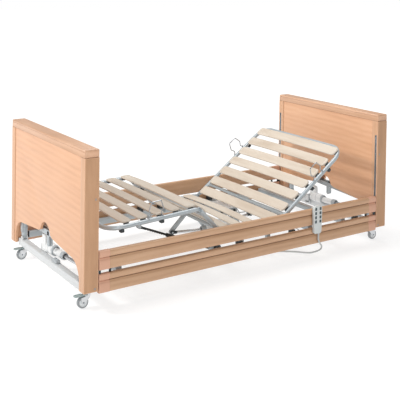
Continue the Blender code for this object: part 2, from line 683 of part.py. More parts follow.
# ---- actuators -----------------------------------------------------------------------------------
def actuator(name, base, end, place, sizes, body_look, rod_look):
    """A motor body and its rod on one line between two pivots, given as pairs in the plane of motion.

    place turns a local point (along, pivot axis, across) at a plane point into a world matrix.
    """
    base, end = Vector(base), Vector(end)
    line = end - base
    angle = math.atan2(line.y, line.x)
    body_length, body_radius, rod_length, rod_radius = sizes
    bore = rod_radius + BORE_CLEARANCE
    hole = EYE_PIN_RADIUS + PIN_CLEARANCE
    through = 0.02
    body = union([
        cylinder((0, -EYE_HALF_WIDTH, 0), (0, EYE_HALF_WIDTH, 0), EYE_RADIUS),
        box((0.004, MOTOR_NECK + OVERLAP), (-EYE_HALF_WIDTH, EYE_HALF_WIDTH), (-0.010, 0.010)),
        cylinder((MOTOR_NECK, 0, 0), (body_length, 0, 0), body_radius, 16)])
    cut(body, [cylinder((0, -through, 0), (0, through, 0), hole),
               cylinder((MOTOR_NECK + 0.012, 0, 0), (body_length + OVERLAP, 0, 0), bore)])
    rod = union([
        cylinder((0, -EYE_HALF_WIDTH, 0), (0, EYE_HALF_WIDTH, 0), EYE_RADIUS - 0.001),
        cylinder((-0.004, 0, 0), (-rod_length, 0, 0), rod_radius, 12)])
    cut(rod, [cylinder((0, -through, 0), (0, through, 0), hole)])
    for piece, label, look, pivot in ((body, "motor", body_look, base), (rod, "rod", rod_look, end)):
        finish(piece, f"{name}_{label}", look, round_piece=True)
        piece.matrix_world = place(pivot, angle)


def lengthwise_place(lateral):
    """Placement in the x-z plane at this y."""
    def place(pivot, angle):
        return Matrix.Translation((pivot[0], lateral, pivot[1])) @ Matrix.Rotation(-angle, 4, "Y")
    return place


def crosswise_place(end):
    """Placement in the y-z plane inside a board."""
    def place(pivot, angle):
        axes = Matrix.Rotation(math.pi / 2, 4, "Z")
        return (Matrix.Translation((end * LIFT_MOTOR_X, pivot[0], pivot[1]))
                @ axes @ Matrix.Rotation(-angle, 4, "Y"))
    return place


# ---- lift ----------------------------------------------------------------------------------------
def end_xs(end, pair):
    return sorted((end * pair[0], end * pair[1]))


def across(end, xs, point, radius, sides=12, top=None):
    """Pin along x through the point (y, z), or a column that stands on it when a top is given."""
    y, z = point
    return cylinder((end * xs[0], y, z), (end * xs[1], y, z if top is None else top), radius, sides)


def ear(end, xs, pivot, radius, foot_z):
    """Round-topped plate that carries a pivot."""
    y = pivot[0]
    outline = [(y + radius, foot_z)] + arc(pivot, radius, 0, 180, 5) + [(y - radius, foot_z)]
    return prism(outline, "X", *end_xs(end, xs))


def lift_arm_a(end, look):
    """From the far pivot on the base beam up beside the post, then level to the near roller."""
    half = ARM_HEIGHT / 2
    far = (ARM_SPAN, ARM_A_ELBOW_Z)
    near = (-ARM_SPAN, PLATFORM_PIVOT_Z)
    xs = end_xs(end, ARM_A_X)
    middle_z = (BASE_PIVOT_Z + PLATFORM_PIVOT_Z) / 2
    level_z = (far[1] + near[1]) / 2
    pieces = [
        across(end, (COLUMN_X, COLUMN_X), (ARM_SPAN, COLUMN_Z[0]), COLUMN_RADIUS, 16, top=COLUMN_Z[1]),
        across(end, (COLUMN_X, COLUMN_X), (ARM_SPAN, COLLAR_Z[0]), COLUMN_RADIUS + COLLAR_PROUD, 16,
               top=COLLAR_Z[1]),
        box(end_xs(end, COLUMN_FOOT_X), (ARM_SPAN - COLUMN_FOOT_HALF, ARM_SPAN + COLUMN_FOOT_HALF),
            (BASE_PIVOT_Z, COLUMN_Z[0] + OVERLAP)),
        across(end, KNUCKLE_X, (ARM_SPAN, BASE_PIVOT_Z), KNUCKLE_RADIUS),
        prism(bar_outline((ARM_SPAN, COLLAR_Z[0] - 0.006), far, half), "X", *xs),
        prism(bar_outline(far, near, half), "X", *xs),
        prism(bar_outline((0.0, level_z), (0.0, middle_z), CROSSING_HALF_WIDTH), "X", *xs),
        across(end, (ARM_A_X[0] + 0.002, CROSS_PIN_END_X), (0.0, middle_z), PIN_RADIUS),
        across(end, (ARM_A_X[0] + 0.002, CROSS_PIN_END_X), near, ROLLER_RADIUS),
    ]
    union(pieces)
    hole = EYE_PIN_RADIUS + PIN_CLEARANCE
    bore_xs = (KNUCKLE_X[0] - OVERLAP, KNUCKLE_X[1] - 0.0005)
    cut(pieces[0], [across(end, bore_xs, (ARM_SPAN, BASE_PIVOT_Z), hole)])
    name = f"{END_NAMES[end]}_lift_arm_a"
    finish(pieces[0], name, look, origin=(0, ARM_SPAN, BASE_PIVOT_Z), round_piece=True)


def lift_arm_b(end, look):
    """From the far pivot in the board level to the near side, then down to the roller on the base beam."""
    half = ARM_HEIGHT / 2
    far = (ARM_SPAN, PLATFORM_PIVOT_Z)
    elbow = (-ARM_SPAN, ARM_B_ELBOW_Z)
    near = (-ARM_SPAN, BASE_PIVOT_Z)
    xs = end_xs(end, ARM_B_X)
    middle_z = (BASE_PIVOT_Z + PLATFORM_PIVOT_Z) / 2
    level_z = (far[1] + elbow[1]) / 2
    pieces = [
        prism(bar_outline(far, elbow, half), "X", *xs),
        prism(bar_outline(elbow, (near[0], near[1] + 0.008), half), "X", *xs),
        prism(bar_outline((0.0, level_z), (0.0, middle_z), CROSSING_HALF_WIDTH + 0.0005), "X", *xs),
        across(end, (ARM_B_X[0], BASE_ROLLER_END_X), near, ROLLER_RADIUS),
        across(end, (LIFT_MOTOR_X - 0.0085, ARM_B_X[0] + 0.002), LIFT_ROD_PIVOT, EYE_PIN_RADIUS),
    ]
    union(pieces)
    hole = PIN_RADIUS + PIN_CLEARANCE
    through = (ARM_B_X[0] - OVERLAP, ARM_B_X[1] + OVERLAP)
    cut(pieces[0], [across(end, through, (0.0, middle_z), hole),
                    across(end, through, far, hole),
                    box(end_xs(end, through), (near[0] - ARM_HEIGHT, near[0] + ARM_HEIGHT),
                        (BEAM_Z[1] - OVERLAP, BEAM_Z[1] + GAP))])
    finish(pieces[0], f"{END_NAMES[end]}_lift_arm_b", look, origin=(0, 0, middle_z), round_piece=True)


def chassis(end, look):
    """Base beam on two castors, with the far pivot of arm A and the bracket of the lift motor."""
    beam = box(end_xs(end, BEAM_X), (-BEAM_HALF_LENGTH, BEAM_HALF_LENGTH), BEAM_Z)
    pieces = [beam]
    for xs in BASE_EARS_X:
        pieces.append(ear(end, xs, (ARM_SPAN, BASE_PIVOT_Z), EAR_RADIUS, BEAM_Z[1] - 0.002))
    pieces.append(across(end, BASE_PIN_X, (ARM_SPAN, BASE_PIVOT_Z), EYE_PIN_RADIUS))
    inner = EYE_HALF_WIDTH + 0.0005
    foot_z = (0.100, 0.122)
    for xs in ((LIFT_MOTOR_X - MOTOR_EAR_REACH, LIFT_MOTOR_X - inner),
               (LIFT_MOTOR_X + inner, LIFT_MOTOR_X + MOTOR_EAR_REACH)):
        pieces.append(ear(end, xs, LIFT_MOTOR_PIVOT, MOTOR_EAR_RADIUS, foot_z[1] - OVERLAP))
    y = LIFT_MOTOR_PIVOT[0]
    pieces.append(box(end_xs(end, (LIFT_MOTOR_X - MOTOR_EAR_REACH, BEAM_X[0] + OVERLAP)),
                      (y - MOTOR_EAR_RADIUS, y + MOTOR_EAR_RADIUS), foot_z))
    pin_xs = (LIFT_MOTOR_X - 0.010, LIFT_MOTOR_X + 0.010)
    pieces.append(across(end, pin_xs, LIFT_MOTOR_PIVOT, EYE_PIN_RADIUS))
    pieces.append(box(end_xs(end, LATCH_X), LATCH_Y, (BEAM_Z[1] - 0.002, BEAM_Z[1] + LATCH_HEIGHT)))
    union(pieces)
    finish(pieces[0], f"{END_NAMES[end]}_chassis_beam", look)


# ---- castors -------------------------------------------------------------------------------------
def castor(end, side, fork_look, wheel_look, pedal_look):
    """Castor that trails away from the bed, its wheel between two legs; built around its swivel axis."""
    label = f"{END_NAMES[end]}_{SIDE_NAMES[side]}"
    swivel = empty(f"castor_{label}_swivel", (end * SWIVEL_X, side * CASTOR_Y, 0))
    axle = (end * CASTOR_TRAIL, 0, WHEEL_RADIUS)
    plate_bottom = CASTOR_TOP - CASTOR_PLATE_THICKNESS
    back, front = FORK_BACK_X
    leg = [(back, plate_bottom + 0.001), (back + 0.003, 0.056)]
    leg += arc((CASTOR_TRAIL, WHEEL_RADIUS), FORK_BOSS_RADIUS, 200, 340, 6)
    leg += [(0.036, 0.052), (0.031, 0.0595), (front, FORK_BACK_BOTTOM), (front, plate_bottom + 0.001)]
    leg = [(end * x, z) for x, z in leg]
    leg_outer = FORK_LEG_Y[1] - 0.001
    fork = union([
        cylinder((0, 0, plate_bottom), (0, 0, CASTOR_TOP), CASTOR_PLATE_RADIUS, 16),
        cylinder((0, 0, CASTOR_TOP - 0.002), (0, 0, BEAM_Z[0] - GAP), STEM_RADIUS, 12),
        box((end * (back + 0.001), end * (front - 0.0005)), (-leg_outer, leg_outer),
            (FORK_BACK_BOTTOM + 0.0002, plate_bottom + 0.003)),
        box((end * (front - 0.002), end * FORK_TONGUE_END), (-FORK_TONGUE_HALF_WIDTH, FORK_TONGUE_HALF_WIDTH),
            (FORK_BACK_BOTTOM + 0.0005, plate_bottom + 0.002))]
        + [prism(leg, "Y", *sorted(s * y for y in FORK_LEG_Y)) for s in (NEAR, FAR)])
    cut(fork, [cylinder((axle[0], -0.02, axle[2]), (axle[0], 0.02, axle[2]), FORK_BORE, 12)])
    finish(fork, f"castor_{label}_fork", fork_look, swivel, round_piece=True)
    wheel = union([
        cylinder((axle[0], -WHEEL_HALF_WIDTH, axle[2]), (axle[0], WHEEL_HALF_WIDTH, axle[2]), WHEEL_RADIUS, 20),
        cylinder((axle[0], -AXLE_HALF_LENGTH, axle[2]), (axle[0], AXLE_HALF_LENGTH, axle[2]), AXLE_RADIUS, 12)])
    finish(wheel, f"castor_{label}_wheel", wheel_look, swivel, origin=axle, round_piece=True)
    if end != FOOT:
        return
    hinge = (end * PEDAL_HINGE[0], 0, PEDAL_HINGE[1])
    arm_xs = [end * x for x in PEDAL_ARM_X]
    arms = [box(arm_xs, [s * y for y in PEDAL_ARM_Y], PEDAL_ARM_Z) for s in (NEAR, FAR)]
    plate = [(end * 0.024, 0.0680), (end * 0.070, 0.0655), (end * 0.072, 0.0670), (end * 0.070, 0.0690),
             (end * 0.024, 0.0725)]
    pedal = union([prism(plate, "Y", -PEDAL_HALF_WIDTH, PEDAL_HALF_WIDTH)] + arms)
    finish(pedal, f"castor_{label}_pedal", pedal_look, swivel, origin=hinge)


# ---- ratchet strut -------------------------------------------------------------------------------
def ratchet(calf_point, look):
    """Sleeve on the main frame and toothed bar on the calf section, on one line between their pivots."""
    base, end = Vector(RATCHET_PIVOT), Vector(calf_point)
    line = end - base
    angle = math.atan2(line.y, line.x)
    place = lengthwise_place(RATCHET_Y)
    through = 0.02
    sleeve = union([
        cylinder((0, -SLEEVE_HALF_WIDTH, 0), (0, SLEEVE_HALF_WIDTH, 0), SLEEVE_EYE_RADIUS, 14),
        box((0.0, RATCHET_SLEEVE_LENGTH), (-SLEEVE_HALF_WIDTH, SLEEVE_HALF_WIDTH),
            (-SLEEVE_HALF_HEIGHT, SLEEVE_HALF_HEIGHT))])
    cavity_y, cavity_z = SLEEVE_HALF_WIDTH - SLEEVE_WALL - 0.0005, SLEEVE_HALF_HEIGHT - SLEEVE_WALL
    cut(sleeve, [cylinder((0, -through, 0), (0, through, 0), SLEEVE_PIN_RADIUS + PIN_CLEARANCE, 12),
                 box((SLEEVE_CAVITY_START, RATCHET_SLEEVE_LENGTH + OVERLAP), (-cavity_y, cavity_y),
                     (-cavity_z, cavity_z))])
    tip = -RATCHET_BAR_LENGTH
    neck = -BAR_EYE_RADIUS - 0.003
    outline = [(tip, -BAR_HALF_HEIGHT)]
    for k in range(int((RATCHET_BAR_LENGTH - 0.06) / RATCHET_TOOTH_PITCH)):
        x = tip + 0.020 + k * RATCHET_TOOTH_PITCH
        outline += [(x, -BAR_HALF_HEIGHT), (x + TOOTH_FLANK, TOOTH_DEPTH - BAR_HALF_HEIGHT),
                    (x + RATCHET_TOOTH_PITCH - TOOTH_FLANK, -BAR_HALF_HEIGHT)]
    outline += [(neck, -BAR_HALF_HEIGHT), (neck, BAR_HALF_HEIGHT), (tip, BAR_HALF_HEIGHT)]
    ys = (-BAR_HALF_THICKNESS, BAR_HALF_THICKNESS)
    bar = union([prism(outline, "Y", *ys),
                 prism(bar_outline((neck - 0.008, 0), (0, 0), BAR_EYE_RADIUS), "Y", *ys)])
    cut(bar, [cylinder((0, -through, 0), (0, through, 0), BAR_EYE_HOLE, 12)])
    for piece, name, pivot in ((sleeve, "ratchet_sleeve", base), (bar, "ratchet_bar", end)):
        finish(piece, name, look)
        piece.matrix_world = place(pivot, angle)


# ---- handset -------------------------------------------------------------------------------------
def handset(shell_look, button_look, cable_look):
    left, right = HANDSET_X - HANDSET_HALF_WIDTH, HANDSET_X + HANDSET_HALF_WIDTH
    bottom, top = HANDSET_Z
    front, back = HANDSET_Y
    taper, corner = 0.004, 0.010
    outline = [(left + taper + corner, bottom), (right - taper - corner, bottom),
               (right - taper, bottom + corner), (right, top - corner), (right - corner, top),
               (left + corner, top), (left, top - corner), (left + taper, bottom + corner)]
    hook_bottom = RAIL_BOTTOMS[1] + RAIL_HEIGHT + 0.0015
    hook_back = HOOK_THICKNESS - RAIL_INNER_Y
    shell = prism(outline, "Y", front, back)
    hook_xs = (HANDSET_X - HOOK_HALF_WIDTH, HANDSET_X + HOOK_HALF_WIDTH)
    hook_zs = (hook_bottom, hook_bottom + HOOK_THICKNESS)
    union([shell, box(hook_xs, (back - HOOK_THICKNESS, hook_back), hook_zs),
           box(hook_xs, (0.0012 - RAIL_INNER_Y, hook_back), (hook_bottom - HOOK_LIP, hook_bottom + 0.003))])
    well_y = front + BUTTON_WELL
    well_radius = BUTTON_RADIUS + 0.0008
    wells = [cylinder((HANDSET_X + dx, front - 0.01, z), (HANDSET_X + dx, well_y, z), well_radius, 10)
             for z in BUTTON_ROWS for dx in BUTTON_COLUMNS]
    cut(shell, wells)
    finish(shell, "handset_shell", shell_look)
    for row, z in enumerate(BUTTON_ROWS, 1):
        for column, dx in zip("ab", BUTTON_COLUMNS):
            x = HANDSET_X + dx
            button = cylinder((x, front - BUTTON_PROUD, z), (x, well_y - BUTTON_TRAVEL - 0.0005, z),
                              BUTTON_RADIUS, 10)
            name = f"handset_button_{column}{row}"
            finish(button, name, button_look, origin=(x, front, z), round_piece=True)
    hang_y = (front + back) / 2
    route = [(0.494, hang_y, bottom - GAP), (0.494, hang_y, 0.115), (0.520, hang_y, 0.082),
             (0.527, hang_y, 0.060), (0.490, hang_y + 0.002, 0.047), (0.420, -0.523, 0.050),
             (0.325, -0.513, 0.070), (0.250, -0.498, 0.080), (0.200, -0.477, 0.084)]
    cable = tube(bent_path(route, 0.018, 3), CABLE_RADIUS, 8)
    finish(cable, "handset_cable", cable_look, round_piece=True)


# ---- the whole bed -------------------------------------------------------------------------------
def build():
    for obj in list(bpy.data.objects):
        bpy.data.objects.remove(obj, do_unlink=True)

    panel_wood = material("panel_wood", (0.84, 0.58, 0.38), 0.45)
    frame_wood = material("frame_wood", (0.66, 0.43, 0.27), 0.45)
    slat_wood = material("slat_wood", (0.86, 0.78, 0.66), 0.55)
    painted_tube = material("painted_tube", (0.62, 0.66, 0.69), 0.35, 0.4)
    pale_paint = material("pale_paint", (0.82, 0.84, 0.85), 0.40)
    chrome = material("chrome", (0.80, 0.80, 0.82), 0.12, 1.0)
    track_metal = material("track_metal", (0.55, 0.58, 0.60), 0.30, 0.9)
    cap_plastic = material("cap_plastic", (0.76, 0.53, 0.42), 0.50)
    pale_plastic = material("pale_plastic", (0.80, 0.81, 0.82), 0.40)
    dark_plastic = material("dark_plastic", (0.06, 0.07, 0.08), 0.50)
    tyre = material("tyre", (0.30, 0.32, 0.33), 0.65)
    cable_grey = material("cable_grey", (0.62, 0.63, 0.62), 0.50)

    for end in (FOOT, HEAD):
        board_panel(end, panel_wood)
        board_frame(end, frame_wood)
        chassis(end, pale_paint)
        lift_arm_a(end, painted_tube)
        lift_arm_b(end, painted_tube)
        actuator(f"{END_NAMES[end]}_lift", LIFT_MOTOR_PIVOT, LIFT_ROD_PIVOT, crosswise_place(end),
                 LIFT_ACTUATOR, pale_plastic, chrome)
        for side in (NEAR, FAR):
            guide_track(end, side, track_metal)
            castor(end, side, track_metal, tyre, track_metal)
    for side in (NEAR, FAR):
        side_rail(side, frame_wood, cap_plastic)

    mattress_frame(painted_tube)
    back_hinge = empty("backrest_hinge", (BACK_X, 0, PIVOT_Z), -BACK_ANGLE)
    thigh_hinge = empty("thigh_hinge", (THIGH_X, 0, PIVOT_Z), THIGH_ANGLE)
    knee_hinge = empty("knee_hinge", (-THIGH_LENGTH, 0, 0), -THIGH_ANGLE - CALF_DROP, thigh_hinge)
    backrest(back_hinge, painted_tube)
    thigh_section(thigh_hinge, painted_tube)
    calf_section(knee_hinge, painted_tube)
    back_starts = [BACK_SLAT_START + BACK_SLAT_PITCH * k for k in range(BACK_SLAT_COUNT)]
    calf_starts = [CALF_SLAT_START + CALF_SLAT_PITCH * k for k in range(CALF_SLAT_COUNT)]
    slats("backrest_slats", back_starts, slat_wood, back_hinge)
    slats("seat_slats", SEAT_SLAT_STARTS, slat_wood, None, PIVOT_Z)
    slats("thigh_slats", THIGH_SLAT_STARTS, slat_wood, thigh_hinge)
    slats("calf_slats", calf_starts, slat_wood, knee_hinge)

    back_rod = turned(BACK_LEVER, BACK_ANGLE)
    actuator("backrest", BACK_MOTOR_PIVOT, (BACK_X + back_rod[0], PIVOT_Z + back_rod[1]),
             lengthwise_place(BACK_MOTOR_Y), BACK_ACTUATOR, pale_plastic, chrome)
    thigh_rod = turned(THIGH_LEVER, -THIGH_ANGLE)
    actuator("thigh", THIGH_MOTOR_PIVOT, (THIGH_X + thigh_rod[0], PIVOT_Z + thigh_rod[1]),
             lengthwise_place(THIGH_MOTOR_Y), THIGH_ACTUATOR, pale_plastic, chrome)
    knee = turned((-THIGH_LENGTH, 0.0), -THIGH_ANGLE)
    calf_pin = turned((-RATCHET_CALF_PIVOT[0], RATCHET_CALF_PIVOT[1]), CALF_DROP)
    ratchet((THIGH_X + knee[0] + calf_pin[0], PIVOT_Z + knee[1] + calf_pin[1]), dark_plastic)
    handset(pale_plastic, dark_plastic, cable_grey)


build()
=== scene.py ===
"""Looks of the adjustable hospital bed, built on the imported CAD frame. Lengths are in metres."""

import json
import math

import bmesh
import bpy
from mathutils import Matrix, Vector


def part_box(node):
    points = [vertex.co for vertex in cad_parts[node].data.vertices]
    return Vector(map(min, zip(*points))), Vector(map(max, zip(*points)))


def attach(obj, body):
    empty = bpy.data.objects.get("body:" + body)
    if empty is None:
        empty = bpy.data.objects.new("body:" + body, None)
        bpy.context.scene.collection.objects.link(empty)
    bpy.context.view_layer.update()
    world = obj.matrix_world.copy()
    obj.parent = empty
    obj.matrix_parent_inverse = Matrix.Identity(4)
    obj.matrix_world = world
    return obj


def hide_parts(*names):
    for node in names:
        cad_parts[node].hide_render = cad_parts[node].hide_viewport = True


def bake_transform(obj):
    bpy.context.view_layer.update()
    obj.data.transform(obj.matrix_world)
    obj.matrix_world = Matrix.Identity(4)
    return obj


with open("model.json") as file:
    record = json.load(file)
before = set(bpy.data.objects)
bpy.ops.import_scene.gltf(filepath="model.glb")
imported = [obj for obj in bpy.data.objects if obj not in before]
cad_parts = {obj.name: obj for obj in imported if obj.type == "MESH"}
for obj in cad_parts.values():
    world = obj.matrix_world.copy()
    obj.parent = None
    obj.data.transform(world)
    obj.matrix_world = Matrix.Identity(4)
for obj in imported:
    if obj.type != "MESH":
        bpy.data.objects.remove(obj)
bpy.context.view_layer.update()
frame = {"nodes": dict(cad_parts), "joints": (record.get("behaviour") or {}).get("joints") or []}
PIVOT = {joint["name"]: Vector(joint["pos_m"]) for joint in frame["joints"] if "pos_m" in joint}

FOOT, HEAD, NEAR, FAR = -1, 1, -1, 1
ENDS = {FOOT: "foot", HEAD: "head"}
SIDES = {NEAR: "near", FAR: "far"}

# boards, taken from the CAD boxes
board_low, board_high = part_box("head_board_frame")
BOARD_INNER, BOARD_OUTER = board_low.x, board_high.x
BOARD_HALF, BOARD_BOTTOM, BOARD_TOP = board_high.y, board_low.z, board_high.z
POST_WIDTH = 0.050
RAIL_Z = BOARD_TOP - 0.042
panel_low, panel_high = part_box("head_board_panel")
PANEL_INNER, PANEL_OUTER, PANEL_HALF = panel_low.x, panel_high.x, panel_high.y
SKIN = 0.0165
POCKET_TOP = 0.420
track_low, track_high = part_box("guide_track_head_far")
TRACK_Y = (track_low.y + track_high.y) / 2

# side rails and main frame
RAIL_HEIGHT = 0.098
BEAM_END = 0.9397
FRAME_Z = (0.122, 0.158)
SIDE_TUBE_Y = (0.437, 0.467)
CROSS_BEAM_XS = (-0.850, 0.500, 0.780)
SEAT_CROSS_XS = (-0.030, 0.170)
BACK_LATERAL, THIGH_LATERAL = 0.060, -0.100     # where each actuator's lever stands across the bed

# lift: the arms' pins stand ARM_Y from the middle, each part in its own layer of x
ARM_Y = 0.40
ARM_A_X, ARM_B_X = (1.058, 1.069), (1.045, 1.056)
ARM_HALF = 0.015
CHASSIS_X, CHASSIS_Z = (1.029, 1.069), (0.088, 0.130)
COLUMN_X = 1.049
CASTOR_X, CASTOR_Y = 1.034, 0.427

# lying surface
TUBE_R, TUBE_Y, CROSS_R = 0.0125, 0.420, 0.010
SLAT_TOP, SLAT_THICK, SLAT_HALF, SLAT_WIDTH = 0.0235, 0.009, 0.405, 0.066
SLAT_END_ROUND = 0.022
BACK_ANGLE, THIGH_ANGLE, CALF_DROP = math.radians(36.2), math.radians(46.8), math.radians(2.8)
THIGH_LENGTH = 0.270
PIVOT_Z = PIVOT["backrest"].z
BACK = Matrix.Translation(PIVOT["backrest"]) @ Matrix.Rotation(-BACK_ANGLE, 4, "Y")
THIGH = Matrix.Translation(PIVOT["thigh"]) @ Matrix.Rotation(THIGH_ANGLE, 4, "Y")
CALF = Matrix.Translation(PIVOT["knee"]) @ Matrix.Rotation(-CALF_DROP, 4, "Y")
SEAT = Matrix.Translation((0, 0, PIVOT_Z))


# ---- shapes ----
def new_object(bm):
    bmesh.ops.recalc_face_normals(bm, faces=bm.faces)
    mesh = bpy.data.meshes.new("piece")
    bm.to_mesh(mesh)
    bm.free()
    obj = bpy.data.objects.new("piece", mesh)
    bpy.context.scene.collection.objects.link(obj)
    return obj


def soften(bm, width, segments, least):
    edges = [e for e in bm.edges if len(e.link_faces) == 2 and e.calc_face_angle(0) > least]
    bmesh.ops.bevel(bm, geom=edges, offset=width, segments=segments, profile=0.6, affect="EDGES",
                    clamp_overlap=True)


def bridge(bm, sections):
    """Faces from each closed loop of points to the next, with flat ends."""
    rings = [[bm.verts.new(point) for point in section] for section in sections]
    bm.faces.new(rings[0])
    bm.faces.new(rings[-1])
    for one, two in zip(rings, rings[1:]):
        for k in range(len(one)):
            after = (k + 1) % len(one)
            bm.faces.new((one[k], one[after], two[after], two[k]))


def loft(sections):
    bm = bmesh.new()
    bridge(bm, sections)
    return new_object(bm)


def prism(outline, axis, low, high, bevel=0.0, segments=2, least=0.6):
    """A flat outline pushed along an axis, with its sharp edges rounded."""
    def level(depth):
        points = [list(pair) for pair in outline]
        for point in points:
            point.insert("XYZ".index(axis), depth)
        return points

    bm = bmesh.new()
    bridge(bm, [level(depth) for depth in sorted((low, high))])
    bmesh.ops.recalc_face_normals(bm, faces=bm.faces)
    if bevel:
        soften(bm, bevel, segments, least)
    return new_object(bm)


def box(xs, ys, zs, bevel=0.002, segments=2):
    (x0, x1), (y0, y1), (z0, z1) = sorted(xs), sorted(ys), sorted(zs)
    return prism([(x0, y0), (x1, y0), (x1, y1), (x0, y1)], "Z", z0, z1, bevel, segments)


def about(centre, half):
    return centre - half, centre + half


def times(factor, pair):
    return factor * pair[0], factor * pair[1]


def with_mirror(half, axis=0):
    """The points, then the same points mirrored and in reverse order."""
    signs = (-1, 1) if axis == 0 else (1, -1)
    return half + [(a * signs[0], b * signs[1]) for a, b in reversed(half)]


def arc(centre, radius, start, end, steps):
    angles = [math.radians(start + (end - start) * k / steps) for k in range(steps + 1)]
    return [(centre[0] + radius * math.cos(a), centre[1] + radius * math.sin(a)) for a in angles]


def bar_outline(start, end, half, steps=12):
    angle = math.degrees(math.atan2(end[1] - start[1], end[0] - start[0]))
    return arc(end, half, angle - 90, angle + 90, steps) + arc(start, half, angle + 90, angle + 270, steps)


def bar(start, end, half, axis, span, bevel=0.001):
    """Flat bar with round ends."""
    return prism(bar_outline(start, end, half), axis, *span, bevel=bevel)


def round_rect(low, high, radii, steps=5):
    """Rounded rectangle; radii start at the low-low corner and go anticlockwise."""
    if not isinstance(radii, (list, tuple)):
        radii = [radii] * 4
    (x0, y0), (x1, y1) = low, high
    corners = [(x0, y0, 1, 1, 180), (x1, y0, -1, 1, 270), (x1, y1, -1, -1, 0), (x0, y1, 1, -1, 90)]
    outline = []
    for (x, y, dx, dy, start), r in zip(corners, radii):
        outline += arc((x + dx * r, y + dy * r), r, start, start + 90, steps)
    return outline


def rounded_block(half, corner, half_width):
    """Square block with rounded corners round the local y axis, as at the eye of a rod."""
    return prism(round_rect((-half, -half), (half, half), corner, 8), "Y", -half_width, half_width, bevel=0.001)


def lathe(profile, start=(0, 0, 0), direction=(1, 0, 0), sides=28):
    """Revolves (distance along, radius) pairs round an axis. A radius of 0 closes the shape."""
    start, direction = Vector(start), Vector(direction).normalized()
    across = direction.orthogonal().normalized()
    other = direction.cross(across)
    bm = bmesh.new()
    rings = []
    for along, radius in profile:
        centre = start + direction * along
        if radius < 1e-7:
            rings.append([bm.verts.new(centre)])
            continue
        ring = []
        for k in range(sides):
            angle = 2 * math.pi * k / sides
            ring.append(bm.verts.new(centre + (across * math.cos(angle) + other * math.sin(angle)) * radius))
        rings.append(ring)
    for one, two in zip(rings, rings[1:]):
        for k in range(sides):
            after = (k + 1) % sides
            if len(one) == 1:
                bm.faces.new((one[0], two[after], two[k]))
            elif len(two) == 1:
                bm.faces.new((one[k], one[after], two[0]))
            else:
                bm.faces.new((one[k], one[after], two[after], two[k]))
    return new_object(bm)


def turned(profile, start=(0, 0, 0), direction=(1, 0, 0), sides=28):
    """A solid turned from the profile, with flat ends."""
    first, last = profile[0], profile[-1]
    profile = [(first[0], 0)] + profile
    return lathe(profile + [(last[0], 0)] if last[1] else profile, start, direction, sides)


def rod(start, end, radius, chamfer=0.0008, sides=20):
    start, end = Vector(start), Vector(end)
    length = (end - start).length
    return turned([(0, radius - chamfer), (chamfer, radius), (length - chamfer, radius), (length, radius - chamfer)],
                  start, end - start, sides)


def pin_x(end, xs, y, z, radius, sides=20):
    """Pin along x at one end of the bed."""
    return rod((end * xs[0], y, z), (end * xs[1], y, z), radius, sides=sides)


def pin_y(radius, x=0.0, y=0.0, z=0.0, half=0.02):
    return rod((x, y - half, z), (x, y + half, z), radius)


def headed_pin(length, start):
    return turned([(0, 0.0095), (0.003, 0.0095), (0.0032, 0.0058), (length - 0.001, 0.0058), (length, 0.0050)],
                  start, (0, -1, 0), 20)


def bent_path(corners, radius, steps=8):
    corners = [Vector(c) for c in corners]
    path = [corners[0]]
    for before, corner, after in zip(corners, corners[1:], corners[2:]):
        a, b = (before - corner).normalized(), (after - corner).normalized()
        half = a.angle(b) / 2
        if half > 1.56:
            continue
        reach = radius / math.tan(half)
        centre = corner + (a + b).normalized() * radius / math.sin(half)
        first, last = corner + a * reach - centre, corner + b * reach - centre
        turn = first.angle(last) / steps
        axis = first.cross(last)
        for step in range(steps + 1):
            path.append(centre + Matrix.Rotation(turn * step, 3, axis) @ first)
    return path + [corners[-1]]


def tube(path, radius, sides=14):
    """A round bar swept along a path, with closed rounded ends."""
    path = [Vector(p) for p in path]
    forward = (path[1] - path[0]).normalized()
    side = forward.orthogonal().normalized()

    def ring_at(point, along, size):
        up = along.cross(side).normalized()
        across = up.cross(along).normalized()
        angles = [2 * math.pi * k / sides for k in range(sides)]
        return [point + (across * math.cos(a) + up * math.sin(a)) * size for a in angles]

    rings = [ring_at(path[0], forward, radius * 0.8)]
    for index, point in enumerate(path):
        before = (point - path[index - 1]).normalized() if index else forward
        after = (path[index + 1] - point).normalized() if index + 1 < len(path) else before
        side = before.rotation_difference(after).to_matrix() @ side
        along = (before + after).normalized()
        if index == 0:
            point = point + along * radius * 0.2
        if index + 1 == len(path):
            point = point - along * radius * 0.2
        rings.append(ring_at(point, along, radius))
    return loft(rings + [ring_at(path[-1], along, radius * 0.8)])


def spline_path(points, steps=10):
    """Smooth curve through the points (Catmull-Rom)."""
    points = [Vector(p) for p in points]
    points = [points[0] * 2 - points[1]] + points + [points[-1] * 2 - points[-2]]
    path = []
    for a, b, c, d in zip(points, points[1:], points[2:], points[3:]):
        for k in range(steps):
            t = k / steps
            path.append(0.5 * (2 * b + (c - a) * t + (2 * a - 5 * b + 4 * c - d) * t * t
                               + (3 * b - a - 3 * c + d) * t ** 3))
    return path + [points[-2]]


def boolean(target, others, operation="DIFFERENCE"):
    for other in others:
        modifier = target.modifiers.new(operation.lower(), "BOOLEAN")
        modifier.operation = operation
        modifier.solver = "EXACT"
        modifier.object = other
    graph = bpy.context.evaluated_depsgraph_get()
    graph.update()
    mesh = bpy.data.meshes.new_from_object(target.evaluated_get(graph))
    target.modifiers.clear()
    target.data = mesh
    for other in others:
        bpy.data.objects.remove(other, do_unlink=True)
    return target


def united(pieces):
    """Several shapes as one solid."""
    return boolean(pieces[0], pieces[1:], "UNION")


def joined(pieces):
    """Several shapes in one mesh."""
    bm = bmesh.new()
    for piece in pieces:
        bm.from_mesh(piece.data)
        bpy.data.objects.remove(piece, do_unlink=True)
    return new_object(bm)


